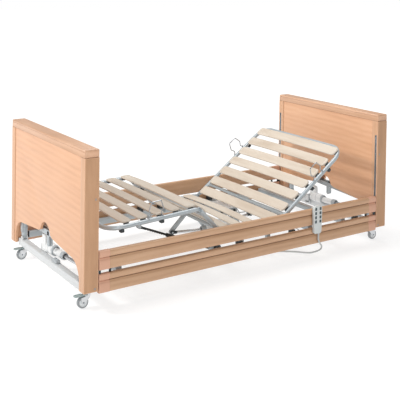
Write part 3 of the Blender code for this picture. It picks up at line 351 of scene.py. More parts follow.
def put(made, name, look, body="platform", place=None, cad_node=None, smooth=35):
    """Names a piece, gives it its look, puts it in place and lets it ride on its body, for a CAD node if named."""
    obj = joined(made) if isinstance(made, list) else made
    obj.name = name
    obj.data.name = name
    obj.data.materials.clear()
    obj.data.materials.append(look)
    obj.data.shade_smooth()
    obj.data.set_sharp_from_angle(angle=math.radians(smooth))
    if place is not None:
        obj.matrix_world = place
    if body:
        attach(obj, body)
    if cad_node:
        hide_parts(cad_node)
    return obj


# ---- looks ----
def shader(name, slot_name):
    made = bpy.data.materials.new(name)
    made.use_nodes = True
    made["slot"] = slot_name
    return made, made.node_tree, made.node_tree.nodes["Principled BSDF"]


def feed(tree, made, values):
    """Links or sets a node's inputs."""
    for key, value in values.items():
        if isinstance(value, bpy.types.NodeSocket):
            tree.links.new(value, made.inputs[key])
        else:
            made.inputs[key].default_value = value


def node(tree, kind, values=None, **settings):
    made = tree.nodes.new("ShaderNode" + kind)
    for key, value in settings.items():
        setattr(made, key, value)
    feed(tree, made, values or {})
    return made


def maths(tree, operation, a, b=0.0, clamp=False):
    return node(tree, "Math", {0: a, 1: b}, operation=operation, use_clamp=clamp).outputs[0]


def weighted(tree, parts):
    """Sum of (value, weight) pairs."""
    scaled = [maths(tree, "MULTIPLY", value, weight) for value, weight in parts]
    total = scaled.pop()
    while scaled:
        total = maths(tree, "ADD", scaled.pop(), total)
    return total


def mixed(tree, factor, a, b):
    return node(tree, "Mix", {0: factor, 6: a, 7: b}, data_type="RGBA", blend_type="MIX").outputs[2]


def tint(colour, share=1.0, lift=0.0):
    return (*[min(1, c * share + lift) for c in colour], 1.0)


def mapped(tree, scale, turn=(0, 0, 0), spread=2.0):
    """Object coordinates, scaled, with each object at its own offset."""
    chance = node(tree, "ObjectInfo").outputs["Random"]
    shift = node(tree, "CombineXYZ", {0: maths(tree, "MULTIPLY", chance, spread),
                                      1: maths(tree, "MULTIPLY", chance, spread * 1.7),
                                      2: maths(tree, "MULTIPLY", chance, spread * 0.6)}).outputs[0]
    coords = node(tree, "TexCoord").outputs["Object"]
    moved = node(tree, "VectorMath", {0: coords, 1: shift}, operation="ADD").outputs[0]
    return node(tree, "Mapping", {"Vector": moved, "Scale": scale, "Rotation": turn}).outputs[0]


def noise(tree, vector, scale, detail, rough, distortion=0.0):
    return node(tree, "TexNoise", {"Vector": vector, "Scale": scale, "Detail": detail, "Roughness": rough,
                                   "Distortion": distortion}).outputs[0]


def stretch(tree, value, low, high, out_low=0.0, out_high=1.0):
    return node(tree, "MapRange", {0: value, 1: low, 2: high, 3: out_low, 4: out_high}).outputs[0]


def rubbed_and_highlit_edges(tree, base, colour, radius, amount, share, lift):
    """Paler edges, partly rubbed and partly painted highlight, found from how much a rounded normal differs from the
    true one.
    """
    rounded = node(tree, "Bevel", {"Radius": radius}, samples=4).outputs[0]
    true = node(tree, "NewGeometry").outputs["Normal"]
    same = node(tree, "VectorMath", {0: rounded, 1: true}, operation="DOT_PRODUCT").outputs["Value"]
    # Partly rubbing, partly painted highlight: the mask lightens every rounded edge the way a glint along it would.
    mask = maths(tree, "MULTIPLY", stretch(tree, same, 0.995, 0.90), amount)
    return mixed(tree, mask, base, tint(colour, share, lift))


def bump(tree, height, strength, distance):
    return node(tree, "Bump", {"Strength": strength, "Distance": distance, "Height": height}).outputs[0]


GRAIN = {"X": (1, 9, 9), "Y": (9, 1, 9), "Z": (9, 9, 1)}


def wood(name, slot_name, dark, middle, light, grain, lean=(0, 0, 0), spread=3.0, figure=1.0, rough=0.40):
    """Lacquered wood: drifting tone, long streaks, fine fibres, short dark flecks, painted shade in grooves and
    joints, and paler edges, partly rubbed and partly painted highlight.
    """
    made, tree, out = shader(name, slot_name)
    axis = GRAIN[grain]

    def along(scale):
        return mapped(tree, scale, lean, spread)

    drift = noise(tree, along((1, 1, 1)), 2.3, 2.0, 0.5)
    streak = noise(tree, along(axis), 2.6, 5.0, 0.62, 0.45)
    bands = node(tree, "TexWave", {"Vector": along([0.25 if a == 1 else 1.0 for a in axis]), "Scale": 9.0,
                                   "Distortion": 3.6, "Detail": 3.0, "Detail Scale": 1.4, "Detail Roughness": 0.6},
                 wave_type="BANDS", bands_direction="Z" if grain != "Z" else "Y").outputs["Fac"]
    fibres = noise(tree, along([a * a for a in axis]), 12.0, 3.0, 0.7)
    flecks = stretch(tree, noise(tree, along([a * 4.5 for a in axis]), 22.0, 1.0, 0.5), 0.66, 0.74)
    tone = weighted(tree, [(streak, 0.62), (bands, 0.16 * figure), (drift, 0.34), (fibres, 0.14)])
    ramp = node(tree, "ValToRGB", {0: stretch(tree, tone, 0.38, 0.88)})
    ramp.color_ramp.elements[0].color = tint(dark)
    ramp.color_ramp.elements[1].color = tint(light)
    ramp.color_ramp.elements.new(0.45).color = tint(middle)
    colour = mixed(tree, maths(tree, "MULTIPLY", flecks, 0.30), ramp.outputs[0], tint(dark, 0.62))
    # Painted shade: ambient occlusion pulls the colour towards a dark brown in grooves and at joints, where shade
    # falls.
    open_air = node(tree, "AmbientOcclusion", {"Distance": 0.012}, samples=6).outputs["AO"]
    painted_crevice_shade = (dark[0] * 0.45, dark[1] * 0.36, dark[2] * 0.32)
    colour = mixed(tree, stretch(tree, open_air, 0.90, 0.40, 0.0, 0.70), colour, tint(painted_crevice_shade))
    height = maths(tree, "SUBTRACT", fibres, maths(tree, "MULTIPLY", flecks, 0.8))
    feed(tree, out, {"Base Color": rubbed_and_highlit_edges(tree, colour, light, 0.004, 0.22, 1.22, 0.03),
                     "Roughness": stretch(tree, streak, 0.3, 0.7, rough - 0.06, rough + 0.08),
                     "Coat Weight": 0.18, "Coat Roughness": 0.30, "Normal": bump(tree, height, 0.22, 0.0006)})
    return made


def paint(name, slot_name, colour, rough=0.38, metallic=0.0, rub_and_highlight=0.25):
    """Powder coat: slight orange peel, faint dust in the tone, and paler edges, partly rubbed and partly painted
    highlight.
    """
    made, tree, out = shader(name, slot_name)
    vector = mapped(tree, (1, 1, 1))
    cloud = noise(tree, vector, 6.0, 4.0, 0.6)
    peel = noise(tree, vector, 420.0, 2.0, 0.5)
    speck = stretch(tree, noise(tree, vector, 160.0, 1.0, 0.5), 0.72, 0.80)
    base = mixed(tree, cloud, tint(colour, 0.90), tint(colour, 1.06))
    base = mixed(tree, maths(tree, "MULTIPLY", speck, 0.18), base, tint(colour, 0.55))
    feed(tree, out, {"Base Color": rubbed_and_highlit_edges(tree, base, colour, 0.002, rub_and_highlight, 1.25, 0.04), "Metallic": metallic,
                     "Roughness": stretch(tree, cloud, 0.3, 0.7, rough - 0.06, rough + 0.08),
                     "Coat Weight": 0.15, "Coat Roughness": 0.2, "Normal": bump(tree, peel, 0.12, 0.0003)})
    return made


def metal(name, slot_name, colour, rough, scratches=(1, 1, 1), strength=0.10):
    """Bare or plated metal with fine scratches along one direction."""
    made, tree, out = shader(name, slot_name)
    lines = noise(tree, mapped(tree, scratches), 160.0, 3.0, 0.7)
    stain = noise(tree, mapped(tree, (1, 1, 1)), 9.0, 4.0, 0.6)
    uneven = weighted(tree, [(lines, 0.16), (stain, 0.10)])
    feed(tree, out, {"Base Color": mixed(tree, stain, tint(colour, 0.82), tint(colour, 1.05)), "Metallic": 1.0,
                     "Roughness": maths(tree, "ADD", uneven, rough - 0.12, True),
                     "Normal": bump(tree, lines, strength, 0.0002)})
    return made


def plastic(name, slot_name, colour, rough=0.45, grain=900.0, sheen=0.0):
    """Moulded plastic: fine spark-eroded grain, soft tone drift, and paler edges, partly polished and partly painted
    highlight.
    """
    made, tree, out = shader(name, slot_name)
    vector = mapped(tree, (1, 1, 1))
    drift = noise(tree, vector, 11.0, 3.0, 0.6)
    cells = node(tree, "TexVoronoi", {"Vector": vector, "Scale": grain}).outputs["Distance"]
    base = mixed(tree, drift, tint(colour, 0.90), tint(colour, 1.05, 0.005))
    feed(tree, out, {"Base Color": rubbed_and_highlit_edges(tree, base, colour, 0.0015, 0.16, 1.25, 0.05), "Sheen Weight": sheen,
                     "Roughness": stretch(tree, drift, 0.3, 0.7, rough - 0.05, rough + 0.07),
                     "Normal": bump(tree, cells, 0.10, 0.0002)})
    return made


panel_wood = wood("panel_beech", "panel_wood", (0.595, 0.310, 0.170), (0.690, 0.380, 0.218), (0.750, 0.445, 0.270),
                  "Y", lean=(math.radians(-9), 0, 0), figure=0.8)
# The darker post wood is a painted-shade copy of the post wood, laid over the posts' side faces.
post_side_shade_wood = wood("post_side_shade_beech", "frame_wood", (0.385, 0.203, 0.100), (0.470, 0.257, 0.134), (0.540, 0.312, 0.172), "Z")
face_wood = wood("post_face_beech", "frame_wood", (0.52, 0.285, 0.158), (0.61, 0.345, 0.200), (0.68, 0.41, 0.25), "Z")
cap_wood = wood("top_rail_beech", "frame_wood", (0.50, 0.278, 0.162), (0.61, 0.356, 0.217), (0.69, 0.43, 0.28), "Y")
beam_wood = wood("side_rail_beech", "frame_wood", (0.43, 0.245, 0.135), (0.515, 0.305, 0.175), (0.58, 0.36, 0.22), "X")
slat_wood = wood("birch_slat", "slat_wood", (0.50, 0.41, 0.32), (0.59, 0.51, 0.42), (0.65, 0.59, 0.51), "Y",
                 spread=7.0, figure=0.5, rough=0.5)
tube_paint = paint("blue_grey_paint", "painted_tube", (0.43, 0.475, 0.50), 0.34, 0.25)
base_paint = paint("pale_grey_paint", "pale_paint", (0.64, 0.66, 0.67), 0.40)
chrome = metal("chrome_wire", "rod_metal", (0.42, 0.44, 0.46), 0.24)
rod_metal = metal("ground_rod", "rod_metal", (0.72, 0.73, 0.75), 0.26, (1, 6, 6))
track_metal = metal("brushed_aluminium", "track_metal", (0.58, 0.61, 0.64), 0.40, (8, 8, 0.3), 0.2)
castor_metal = metal("castor_zinc", "castor_metal", (0.74, 0.76, 0.78), 0.34)
cap_plastic = plastic("beam_cap_plastic", "cap_plastic", (0.62, 0.345, 0.232), 0.48)
white_plastic = plastic("motor_plastic", "pale_plastic", (0.80, 0.81, 0.81), 0.42)
grey_plastic = plastic("grey_plastic", "pale_plastic", (0.42, 0.45, 0.47), 0.50)
shell_plastic = plastic("handset_plastic", "pale_plastic", (0.57, 0.60, 0.59), 0.40, 1400.0)
holder_plastic = plastic("slat_holder_plastic", "slat_wood", (0.62, 0.56, 0.48), 0.45)
dark_plastic = plastic("dark_plastic", "dark_plastic", (0.028, 0.034, 0.038), 0.52)
button_rubber = plastic("button_rubber", "dark_plastic", (0.040, 0.062, 0.070), 0.60, 1400.0, 0.2)
cable_rubber = plastic("cable_sheath", "cable_grey", (0.50, 0.51, 0.50), 0.50, 600.0, 0.1)
tyre_rubber = plastic("grey_tyre", "tyre", (0.27, 0.29, 0.305), 0.62, 500.0, 0.15)
wheel_plastic = plastic("wheel_centre", "castor_metal", (0.70, 0.73, 0.74), 0.40)
pedal_paint = paint("pedal_paint", "castor_metal", (0.36, 0.45, 0.45), 0.36, 0.3)
dark_metal = paint("dark_steel", "dark_metal", (0.045, 0.055, 0.06), 0.36, 0.6, 0.5)
bolt_metal = metal("bolt_steel", "rod_metal", (0.30, 0.34, 0.37), 0.34)


# ---- boards ----
def scaled(outline, centre, across, up=1.0):
    return [(centre[0] + (a - centre[0]) * across, centre[1] + (b - centre[1]) * up) for a, b in outline]


def panel_skin(xs):
    """A board skin with the arched opening along its lower edge."""
    low, top = BOARD_BOTTOM, RAIL_Z - 0.0008
    arch = [(0.445, low)] + arc((0.345, 0.150), 0.100, 0, 84, 22) + [(0.092, 0.276)]
    arch += arc((0.090, 0.290), 0.010, -95, -150, 4) + arc((0.0, 0.272), 0.070, 12, 90, 18)
    arch += [(-y, z) for y, z in reversed(arch[:-1])]
    outline = [(-PANEL_HALF, low), (-PANEL_HALF, top), (PANEL_HALF, top), (PANEL_HALF, low)] + arch
    return prism(outline, "X", *xs, bevel=0.0016, segments=3, least=1.2)


def board_panel(end, name):
    for label, xs in (("inner", (PANEL_INNER, PANEL_INNER + SKIN)), ("outer", (PANEL_OUTER - SKIN, PANEL_OUTER))):
        put(panel_skin(times(end, xs)), f"{name}_panel_skin_{label}", panel_wood)
    xs = times(end, (PANEL_INNER + SKIN + 0.0002, PANEL_OUTER - SKIN - 0.0002))
    edge = PANEL_HALF - 0.001
    core = [box(xs, (-edge, edge), (POCKET_TOP, RAIL_Z - 0.002), 0.001)]
    for side in (NEAR, FAR):
        core.append(box(xs, times(side, (0.4525, edge)), (BOARD_BOTTOM + 0.001, POCKET_TOP - 0.0005), 0.001))
    put(core, f"{name}_panel_core", panel_wood, cad_node=f"{name}_board_panel")


def roller_channel(end, name):
    """Channel in which arm A's roller runs, and the pin that arm B turns on."""
    pin_z = PIVOT["foot_platform_pivot"].z
    back_y, mouth_y, half, flange = -0.4250, -0.1850, 0.0125, 0.0102
    section = with_mirror([(back_y, -half), (mouth_y, -half), (mouth_y, -flange), (back_y + 0.003, -flange)], 1)
    section = [(y, pin_z + z) for y, z in section]
    channel = prism(section, "X", end * 1.0430, end * 1.0565, bevel=0.0005)
    backing = box(times(end, (1.0268, 1.0428)), (back_y, mouth_y), about(pin_z, half), 0.0008)
    put([channel, backing], f"{name}_roller_channel", track_metal)
    pin = turned([(0, 0.013), (0.004, 0.013), (0.0045, 0.0078), (0.0290, 0.0078), (0.0300, 0.0068)],
                 (end * 1.0268, ARM_Y, pin_z), (end, 0, 0), 24)
    put(pin, f"{name}_platform_pin", bolt_metal)


def board_post(end, side, name):
    """Post with two bolts on its outer face, a darker strip over that side face as painted shade, and the rail's track
    let into it.
    """
    label = SIDES[side]
    rail_y = side * TRACK_Y
    post = box(times(end, (BOARD_INNER, BOARD_OUTER)), times(side, (BOARD_HALF - POST_WIDTH, BOARD_HALF)),
               (BOARD_BOTTOM, RAIL_Z - 0.0002), 0.0028, 3)
    boolean(post, [box(times(end, (BOARD_INNER - 0.01, track_high.x + 0.0004)), about(rail_y, 0.0083),
                       (BOARD_BOTTOM - 0.01, track_high.z + 0.0004), 0.0)])
    put(post, f"{name}_post_{label}", face_wood)
    # Painted shade: a darker strip on the post's side face makes that face read darker, as shade would.
    painted_side_shade = box(times(end, (BOARD_INNER + 0.0030, BOARD_OUTER - 0.0030)), times(side, (0.5080, 0.5104)),
                 (BOARD_BOTTOM + 0.0030, RAIL_Z - 0.0030), 0.0004, 1)
    put(painted_side_shade, f"{name}_post_edging_{label}", post_side_shade_wood)
    head = [(-0.006, 0.0056), (0.0003, 0.0056), (0.0010, 0.0050), (0.0010, 0.0032), (-0.0015, 0.0028)]
    put([turned(head, (end * 1.026, side * BOARD_HALF, z), (0, side, 0), 24) for z in (0.585, 0.120)],
        f"{name}_post_bolts_{label}", bolt_metal)

    low_x, high_x, lip, wall = track_low.x, track_high.x, 0.0079, 0.0060
    half = [(high_x, lip), (low_x, lip), (low_x, 0.0050), (low_x + 0.0016, 0.0050), (low_x + 0.0016, wall),
            (high_x - 0.002, wall)]
    section = [(end * x, rail_y + y) for x, y in with_mirror(half, 1)]
    put(prism(section, "Z", track_low.z, track_high.z, bevel=0.0004), f"{name}_track_{label}", track_metal,
        cad_node=f"guide_track_{name}_{label}")
    stop = box(times(end, (low_x + 0.0022, high_x - 0.0026)), about(rail_y, 0.0055),
               (track_high.z - 0.012, track_high.z - 0.001), 0.001)
    put(stop, f"{name}_track_stop_{label}", dark_plastic)


def top_rail(end, name):
    """Cap of the board: rounded on top, with a fine groove along both faces and softened ends."""
    loop = round_rect((BOARD_INNER, RAIL_Z + 0.0002), (BOARD_OUTER, BOARD_TOP), [0.0025, 0.0025, 0.0070, 0.0070], 6)
    line = BOARD_TOP - 0.0125
    groove = [(0.0, -0.0012), (0.0016, -0.0004), (0.0016, 0.0004), (0.0, 0.0012)]
    section = loop[7:14] + [(BOARD_OUTER - x, line + z) for x, z in groove] + loop[14:]
    section += [(BOARD_INNER + x, line + z) for x, z in reversed(groove)] + loop[:7]
    centre = ((BOARD_INNER + BOARD_OUTER) / 2, (RAIL_Z + BOARD_TOP) / 2)
    wide, tall = (BOARD_OUTER - BOARD_INNER) / 2, (BOARD_TOP - RAIL_Z) / 2
    sections = []
    for y, shrink in with_mirror([(-BOARD_HALF, 0.0045), (-BOARD_HALF + 0.0012, 0.0018), (-BOARD_HALF + 0.0045, 0.0)]):
        smaller = scaled(section, centre, 1 - shrink / wide, 1 - shrink / tall)
        sections.append([(end * x, y, z) for x, z in smaller])
    put(loft(sections), f"{name}_top_rail", cap_wood, cad_node=f"{name}_board_frame", smooth=50)


def board(end):
    name = ENDS[end]
    board_panel(end, name)
    roller_channel(end, name)
    for side in (NEAR, FAR):
        board_post(end, side, name)
    top_rail(end, name)


# ---- side rails ----
def beam_section(bottom, side, proud=0.0):
    """Beam section with rounded edges and one cove along the outer face: a steep wall over a sloping one."""
    outer, inner = 0.511 + proud, 0.485 - proud
    low, top = bottom - proud, bottom + RAIL_HEIGHT + proud
    corner, crown = 0.0050, 0.0085
    face = bottom + RAIL_HEIGHT
    cove = [(0.0, 0.0500), (0.0006, 0.0490), (0.0020, 0.0478), (0.0056, 0.0384), (0.0100, 0.0380), (0.0100, 0.0346),
            (0.0056, 0.0340), (0.0014, 0.0314), (0.0003, 0.0306), (0.0, 0.0296)]
    half = [(inner + corner, low)] + arc((outer - corner, low + corner), corner, -90, 0, 5)
    half += [(outer - depth, face - down) for depth, down in cove]
    half += arc((outer - crown, top - crown), crown, 0, 90, 8)
    half += arc((inner + corner, top - corner), corner, 90, 180, 5)
    half += arc((inner + corner, low + corner), corner, 180, 265, 5)
    return [(side * y, z) for y, z in half]


def side_rail(side):
    """Two beams with end caps, the links between them, and the sliders that run in the posts' tracks."""
    name = SIDES[side]
    body = f"{name}_rail"
    bottoms = {label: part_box(f"{name}_rail_{label}_beam")[0].z for label in ("lower", "upper")}
    gap_low, gap_high = bottoms["lower"] + RAIL_HEIGHT, bottoms["upper"]
    for label, bottom in bottoms.items():
        beam = prism(beam_section(bottom, side), "X", -BEAM_END, BEAM_END, bevel=0.0004, segments=1, least=1.3)
        put(beam, f"{name}_{label}_beam", beam_wood, body, cad_node=f"{name}_rail_{label}_beam", smooth=40)
    for end in (FOOT, HEAD):
        for label, bottom in bottoms.items():
            cap = prism(beam_section(bottom, side, 0.0008), "X", end * (BEAM_END + 0.0005), end * 1.0030,
                        bevel=0.0016, segments=3, least=1.3)
            put(cap, f"{name}_{label}_cap_{ENDS[end]}", cap_plastic, body,
                cad_node=f"{name}_rail_{ENDS[end]}_carriage", smooth=40)
        link = [box(times(end, xs), times(side, ys), (gap_low - lap, gap_high + lap), 0.001)
                for xs, ys, lap in (((0.989, 0.999), (0.493, 0.503), 0.004),
                                    ((0.9235, 0.9365), (0.4865, 0.4935), 0.003))]
        link.append(turned([(0, 0.0050), (0.003, 0.0050), (0.0042, 0.0038)],
                           (end * 0.930, side * 0.4935, (gap_low + gap_high) / 2), (0, side, 0), 16))
        put(link, f"{name}_beam_link_{ENDS[end]}", dark_metal, body)
        slider = box(times(end, (1.0015, track_high.x - 0.0035)), about(side * TRACK_Y, 0.0040),
                     (bottoms["lower"] + 0.020, bottoms["upper"] + 0.083), 0.0012)
        put(slider, f"{name}_slider_{ENDS[end]}", dark_plastic, body)


# ---- lying surface ----
def slat(start, direction, name, body, place, cad_node, camber):
    """Sprung slat: a thin board with round long edges, cambered upwards, with a holder over each end."""
    low, high = sorted((start, start + direction * SLAT_WIDTH))
    bottom = SLAT_TOP - SLAT_THICK
    section = round_rect((low, bottom), (high, SLAT_TOP - 0.0006), [0.0026, 0.0026, 0.0036, 0.0036], 4)
    middle, half = (low + high) / 2, (high - low) / 2
    straight = SLAT_HALF - SLAT_END_ROUND
    spots = [(straight * (k / 12 - 1), 0.0) for k in range(25)]
    for angle in (30, 52, 68, 80):
        turn = math.radians(angle)
        y, narrowing = straight + SLAT_END_ROUND * math.sin(turn), SLAT_END_ROUND * (1 - math.cos(turn))
        spots = [(-y, narrowing)] + spots + [(y, narrowing)]
    sections = []
    for y, narrowing in spots:
        lift_z = camber * (1 - (y / SLAT_HALF) ** 2)
        sections.append([(x, y, z + lift_z) for x, z in scaled(section, (middle, 0.0), 1 - narrowing / half)])
    put(loft(sections), name, slat_wood, body, place, cad_node, smooth=50)
    for side in (NEAR, FAR):
        cap = round_rect((low + 0.0060, bottom - 0.0022), (high - 0.0060, SLAT_TOP + 0.0010), 0.0034, 4)
        sleeve = prism(cap, "Y", side * 0.3880, side * 0.3975, bevel=0.0012, least=1.3)
        put(sleeve, f"{name}_holder_{SIDES[side]}", holder_plastic, body, place, smooth=50)
        foot = [(0.3900, bottom - 0.0020), (0.4060, bottom - 0.0020), (0.4100, -0.0020), (0.4080, -0.0090),
                (0.4010, -0.0090), (0.3900, 0.0040)]
        clip = prism([(side * y, z) for y, z in foot], "X", *about(middle, 0.014), bevel=0.0012)
        put(clip, f"{name}_clip_{SIDES[side]}", dark_plastic, body, place)


def slat_row(starts, direction, label, body, place, camber=0.006):
    for k, start in enumerate(starts):
        slat(start, direction, f"{label}_slat_{k + 1}", body, place, f"{label}_slats" if k == 0 else None, camber)


def hinge_bolts(name, body, place):
    """Round-headed pivot bolts at both side tubes of a hinge line."""
    profile = [(0, 0.0050), (0.0180, 0.0050), (0.0180, 0.0090), (0.0205, 0.0086), (0.0218, 0.0055), (0.0222, 0)]
    put([turned(profile, (0.0, side * (TUBE_Y - 0.0135), 0), (0, side, 0), 20) for side in (NEAR, FAR)],
        name, bolt_metal, body, place)


def lugs(hinge_x, direction, inner, outer):
    """Flat lugs from both side tubes to a hinge line."""
    return [bar((hinge_x + direction * 0.028, 0.0), (hinge_x, 0.0), 0.010, "Y",
                times(side, (TUBE_Y + inner, TUBE_Y + outer)), 0.0008) for side in (NEAR, FAR)]


def retainers(start, label, body, place, length=0.088):
    """Bent wires that keep the mattress in place, each with its two feet welded to the side tube."""
    up = [(0.000, 0.006), (0.012, 0.034), (-0.002, 0.058), (0.006, 0.082), (0.014, 0.104)]
    for side in (NEAR, FAR):
        y = side * (TUBE_Y + 0.004)
        first = [(start + dx, y + side * 0.1 * dz, dz) for dx, dz in up]
        second = [(start + length - dx, y + side * 0.1 * dz, dz) for dx, dz in reversed(up)]
        wire = tube(bent_path(first + second, 0.006, 5), 0.0030, 10)
        feet = [lathe([(0, 0.0046), (0.004, 0.0040), (0.010, 0.0031), (0.010, 0)], (x, y, 0.0095), (0, 0, 1), 14)
                for x in (start, start + length)]
        put([wire] + feet, f"{label}_retainer_{SIDES[side]}", chrome, body, place)


def side_tubes(x0, x1, z=0.0):
    return [rod((x0, side * TUBE_Y, z), (x1, side * TUBE_Y, z), TUBE_R, sides=20) for side in (NEAR, FAR)]


def cross_tube(x, z=0.0):
    return rod((x, -TUBE_Y, z), (x, TUBE_Y, z), CROSS_R, sides=22)


def lever(x, lateral, pivot):
    return [bar((x, 0.0), pivot, 0.013, "Y", (lateral + 0.0105, lateral + 0.0225)),
            headed_pin(0.033, (pivot[0], lateral + 0.0255, pivot[1]))]


def section_loop(direction, length, corner):
    start, end = direction * 0.018, direction * length
    corners = [(start, -TUBE_Y, 0), (end, -TUBE_Y, 0), (end, TUBE_Y, 0), (start, TUBE_Y, 0)]
    return tube(bent_path(corners, corner, 16), TUBE_R, 20)


def plugs(xs, name, body, place):
    """Black end stops clamped under the tube."""
    put([box(about(x, 0.011), times(side, (0.4085, 0.4350)), (-0.0255, -0.0090), 0.003, 3)
         for x in xs for side in (NEAR, FAR)], name, dark_plastic, body, place)


def lying_surface():
    back = [section_loop(1, 0.705, 0.100), cross_tube(0.110), cross_tube(0.450)]
    back += lugs(0.0, 1, 0.0, 0.0060) + lever(0.110, BACK_LATERAL, (0.110, -0.165))
    put(back, "backrest_tubes", tube_paint, "backrest", BACK, "backrest_frame")
    hinge_bolts("backrest_hinge_bolts", "backrest", BACK)
    plugs((0.360, 0.530), "backrest_plugs", "backrest", BACK)
    slat_row([0.013 + 0.1015 * k for k in range(7)], 1, "backrest", "backrest", BACK)
    retainers(0.400, "backrest", "backrest", BACK)

    thigh = side_tubes(-0.018, 0.018 - THIGH_LENGTH) + [cross_tube(-0.090), cross_tube(-0.215)]
    thigh += lugs(0.0, -1, 0.0, 0.0060) + lugs(-THIGH_LENGTH, 1, -0.0065, -0.0005)
    thigh += lever(-0.090, THIGH_LATERAL, (-0.090, -0.140))
    put(thigh, "thigh_tubes", tube_paint, "thigh_section", THIGH, "thigh_frame")
    hinge_bolts("thigh_hinge_bolts", "thigh_section", THIGH)
    slat_row((-0.022, -0.108, -0.194), -1, "thigh", "thigh_section", THIGH)

    calf = [section_loop(-1, 0.5775, 0.090), cross_tube(-0.300)] + lugs(0.0, -1, 0.0, 0.0060)
    x, pin_z, lug_y = -0.380, -0.030, -0.385 - 0.0085
    calf += [bar((x, -0.004), (x, pin_z), 0.010, "Y", (lug_y - 0.012, lug_y - 0.0005)),
             rod((x, lug_y - 0.004, pin_z), (x, -0.378, pin_z), 0.0039),
             box(about(x, 0.010), (lug_y - 0.020, lug_y - 0.0005), (-0.012, -0.004), 0.001)]
    put(calf, "calf_tubes", tube_paint, "calf_section", CALF, "calf_frame")
    hinge_bolts("knee_hinge_bolts", "calf_section", CALF)
    plugs((-0.250, -0.500), "calf_plugs", "calf_section", CALF)
    slat_row([-0.008 - 0.1045 * k for k in range(5)], -1, "calf", "calf_section", CALF)
    retainers(-0.330, "calf", "calf_section", CALF)

    slat_row((-0.107, -0.014, 0.079), 1, "seat", "platform", SEAT, camber=0.014)


# ---- main frame ----
def rect_tube(axis, ends, first, second, corner=0.004):
    """Closed rectangular tube with rounded corners along an axis."""
    (a0, a1), (b0, b1) = sorted(first), second
    return prism(round_rect((a0, b0), (a1, b1), corner, 4), axis, *ends, bevel=0.0008, segments=1, least=1.3)


def seat_tubes():
    """Tubes under the seat, their brackets, the lugs of both hinges and the pivots of both actuators."""
    seat = side_tubes(-0.126, 0.203, PIVOT_Z)
    for x in SEAT_CROSS_XS:
        seat.append(cross_tube(x, PIVOT_Z))
        for side in (NEAR, FAR):
            bracket = [(0.4140, 0.132), (0.4368, 0.132), (0.4368, 0.186), (0.4310, 0.2155), (0.4140, 0.2155)]
            seat.append(prism([(side * y, z) for y, z in bracket], "X", *about(x, 0.012), bevel=0.0012))
    for joint, direction in (("thigh", 1), ("backrest", -1)):
        for lug in lugs(PIVOT[joint].x, direction, -0.0065, -0.0005):
            lug.data.transform(SEAT)
            seat.append(lug)
    for x, joint, lateral in zip(SEAT_CROSS_XS, ("backrest", "thigh"), (BACK_LATERAL, THIGH_LATERAL)):
        pivot = PIVOT[f"{joint}_motor_pivot"]
        seat.append(bar((x, PIVOT_Z - 0.004), pivot.xz, 0.013, "Y", (lateral + 0.0075, lateral + 0.0195)))
        seat.append(headed_pin(0.032, (pivot.x, lateral + 0.0225, pivot.z)))
    pivot = PIVOT["ratchet_sleeve_pivot"]
    seat.append(box(about(pivot.x, 0.015), (-0.4400, -0.3975), (0.148, 0.172), 0.0015))
    seat.append(turned([(0, 0.0048), (0.024, 0.0048), (0.024, 0.0088), (0.027, 0.0084), (0.028, 0)],
                       (pivot.x, -0.3985, pivot.z), (0, 1, 0), 18))
    put(seat, "seat_tubes", tube_paint)


def control_box():
    put(box((0.278, 0.442), (0.248, 0.4320), (0.1385, 0.1500), 0.004, 4), "control_box_lid", white_plastic)
    put([box((0.281, 0.439), (0.251, 0.4290), (0.0980, 0.1380), 0.003, 3),
         box((0.300, 0.420), (0.4285, 0.4368), (0.1240, 0.1480), 0.0015, 2)], "control_box_tray", grey_plastic)
    plug = [(0, 0.0085), (0.006, 0.0085), (0.007, 0.0060), (0.022, 0.0045)]
    z = 0.122
    sockets = [turned(plug, (x, 0.2512, z), (0, -1, 0), 20) for x in (0.305, 0.340, 0.375, 0.410)]
    put(sockets + [turned(plug, (0.2812, 0.340, z), (-1, 0, 0), 20)], "control_box_plugs", dark_plastic)
    to_handset = [(0.305, 0.231, z), (0.320, 0.200, 0.114), (0.420, 0.160, 0.128), (0.470, 0.090, 0.146),
                  (0.474, -0.080, 0.147), (0.474, -0.250, 0.147), (0.458, -0.390, 0.140), (0.400, -0.430, 0.126),
                  (0.290, -0.432, 0.112), (0.205, -0.478, 0.084)]
    to_backrest = [(0.340, 0.231, z), (0.325, 0.195, 0.110), (0.220, 0.140, 0.104), (0.120, 0.110, 0.112),
                   (0.060, 0.0880, 0.118)]
    to_thigh = [(0.375, 0.231, z), (0.410, 0.195, 0.120), (0.455, 0.120, 0.136), (0.464, 0.020, 0.1385),
                (0.450, -0.080, 0.138), (0.390, -0.125, 0.136), (0.300, -0.128, 0.136), (0.222, -0.126, 0.138)]
    to_head_lift = [(0.410, 0.231, z), (0.420, 0.210, 0.108), (0.460, 0.260, 0.098), (0.520, 0.390, 0.102),
                    (0.580, 0.447, 0.114), (0.640, 0.452, 0.1185), (0.980, 0.452, 0.1185), (1.0062, 0.452, 0.1185)]
    to_foot_lift = [(0.261, 0.340, z), (0.200, 0.360, 0.112), (0.100, 0.435, 0.110), (0.020, 0.452, 0.1185),
                    (-0.400, 0.452, 0.1185), (-0.980, 0.452, 0.1185), (-1.0062, 0.452, 0.1185)]
    for number, route in enumerate((to_handset, to_backrest, to_thigh, to_head_lift, to_foot_lift), 1):
        put(tube(spline_path(route, 8), 0.0030, 10), f"frame_cable_{number}", cable_rubber)


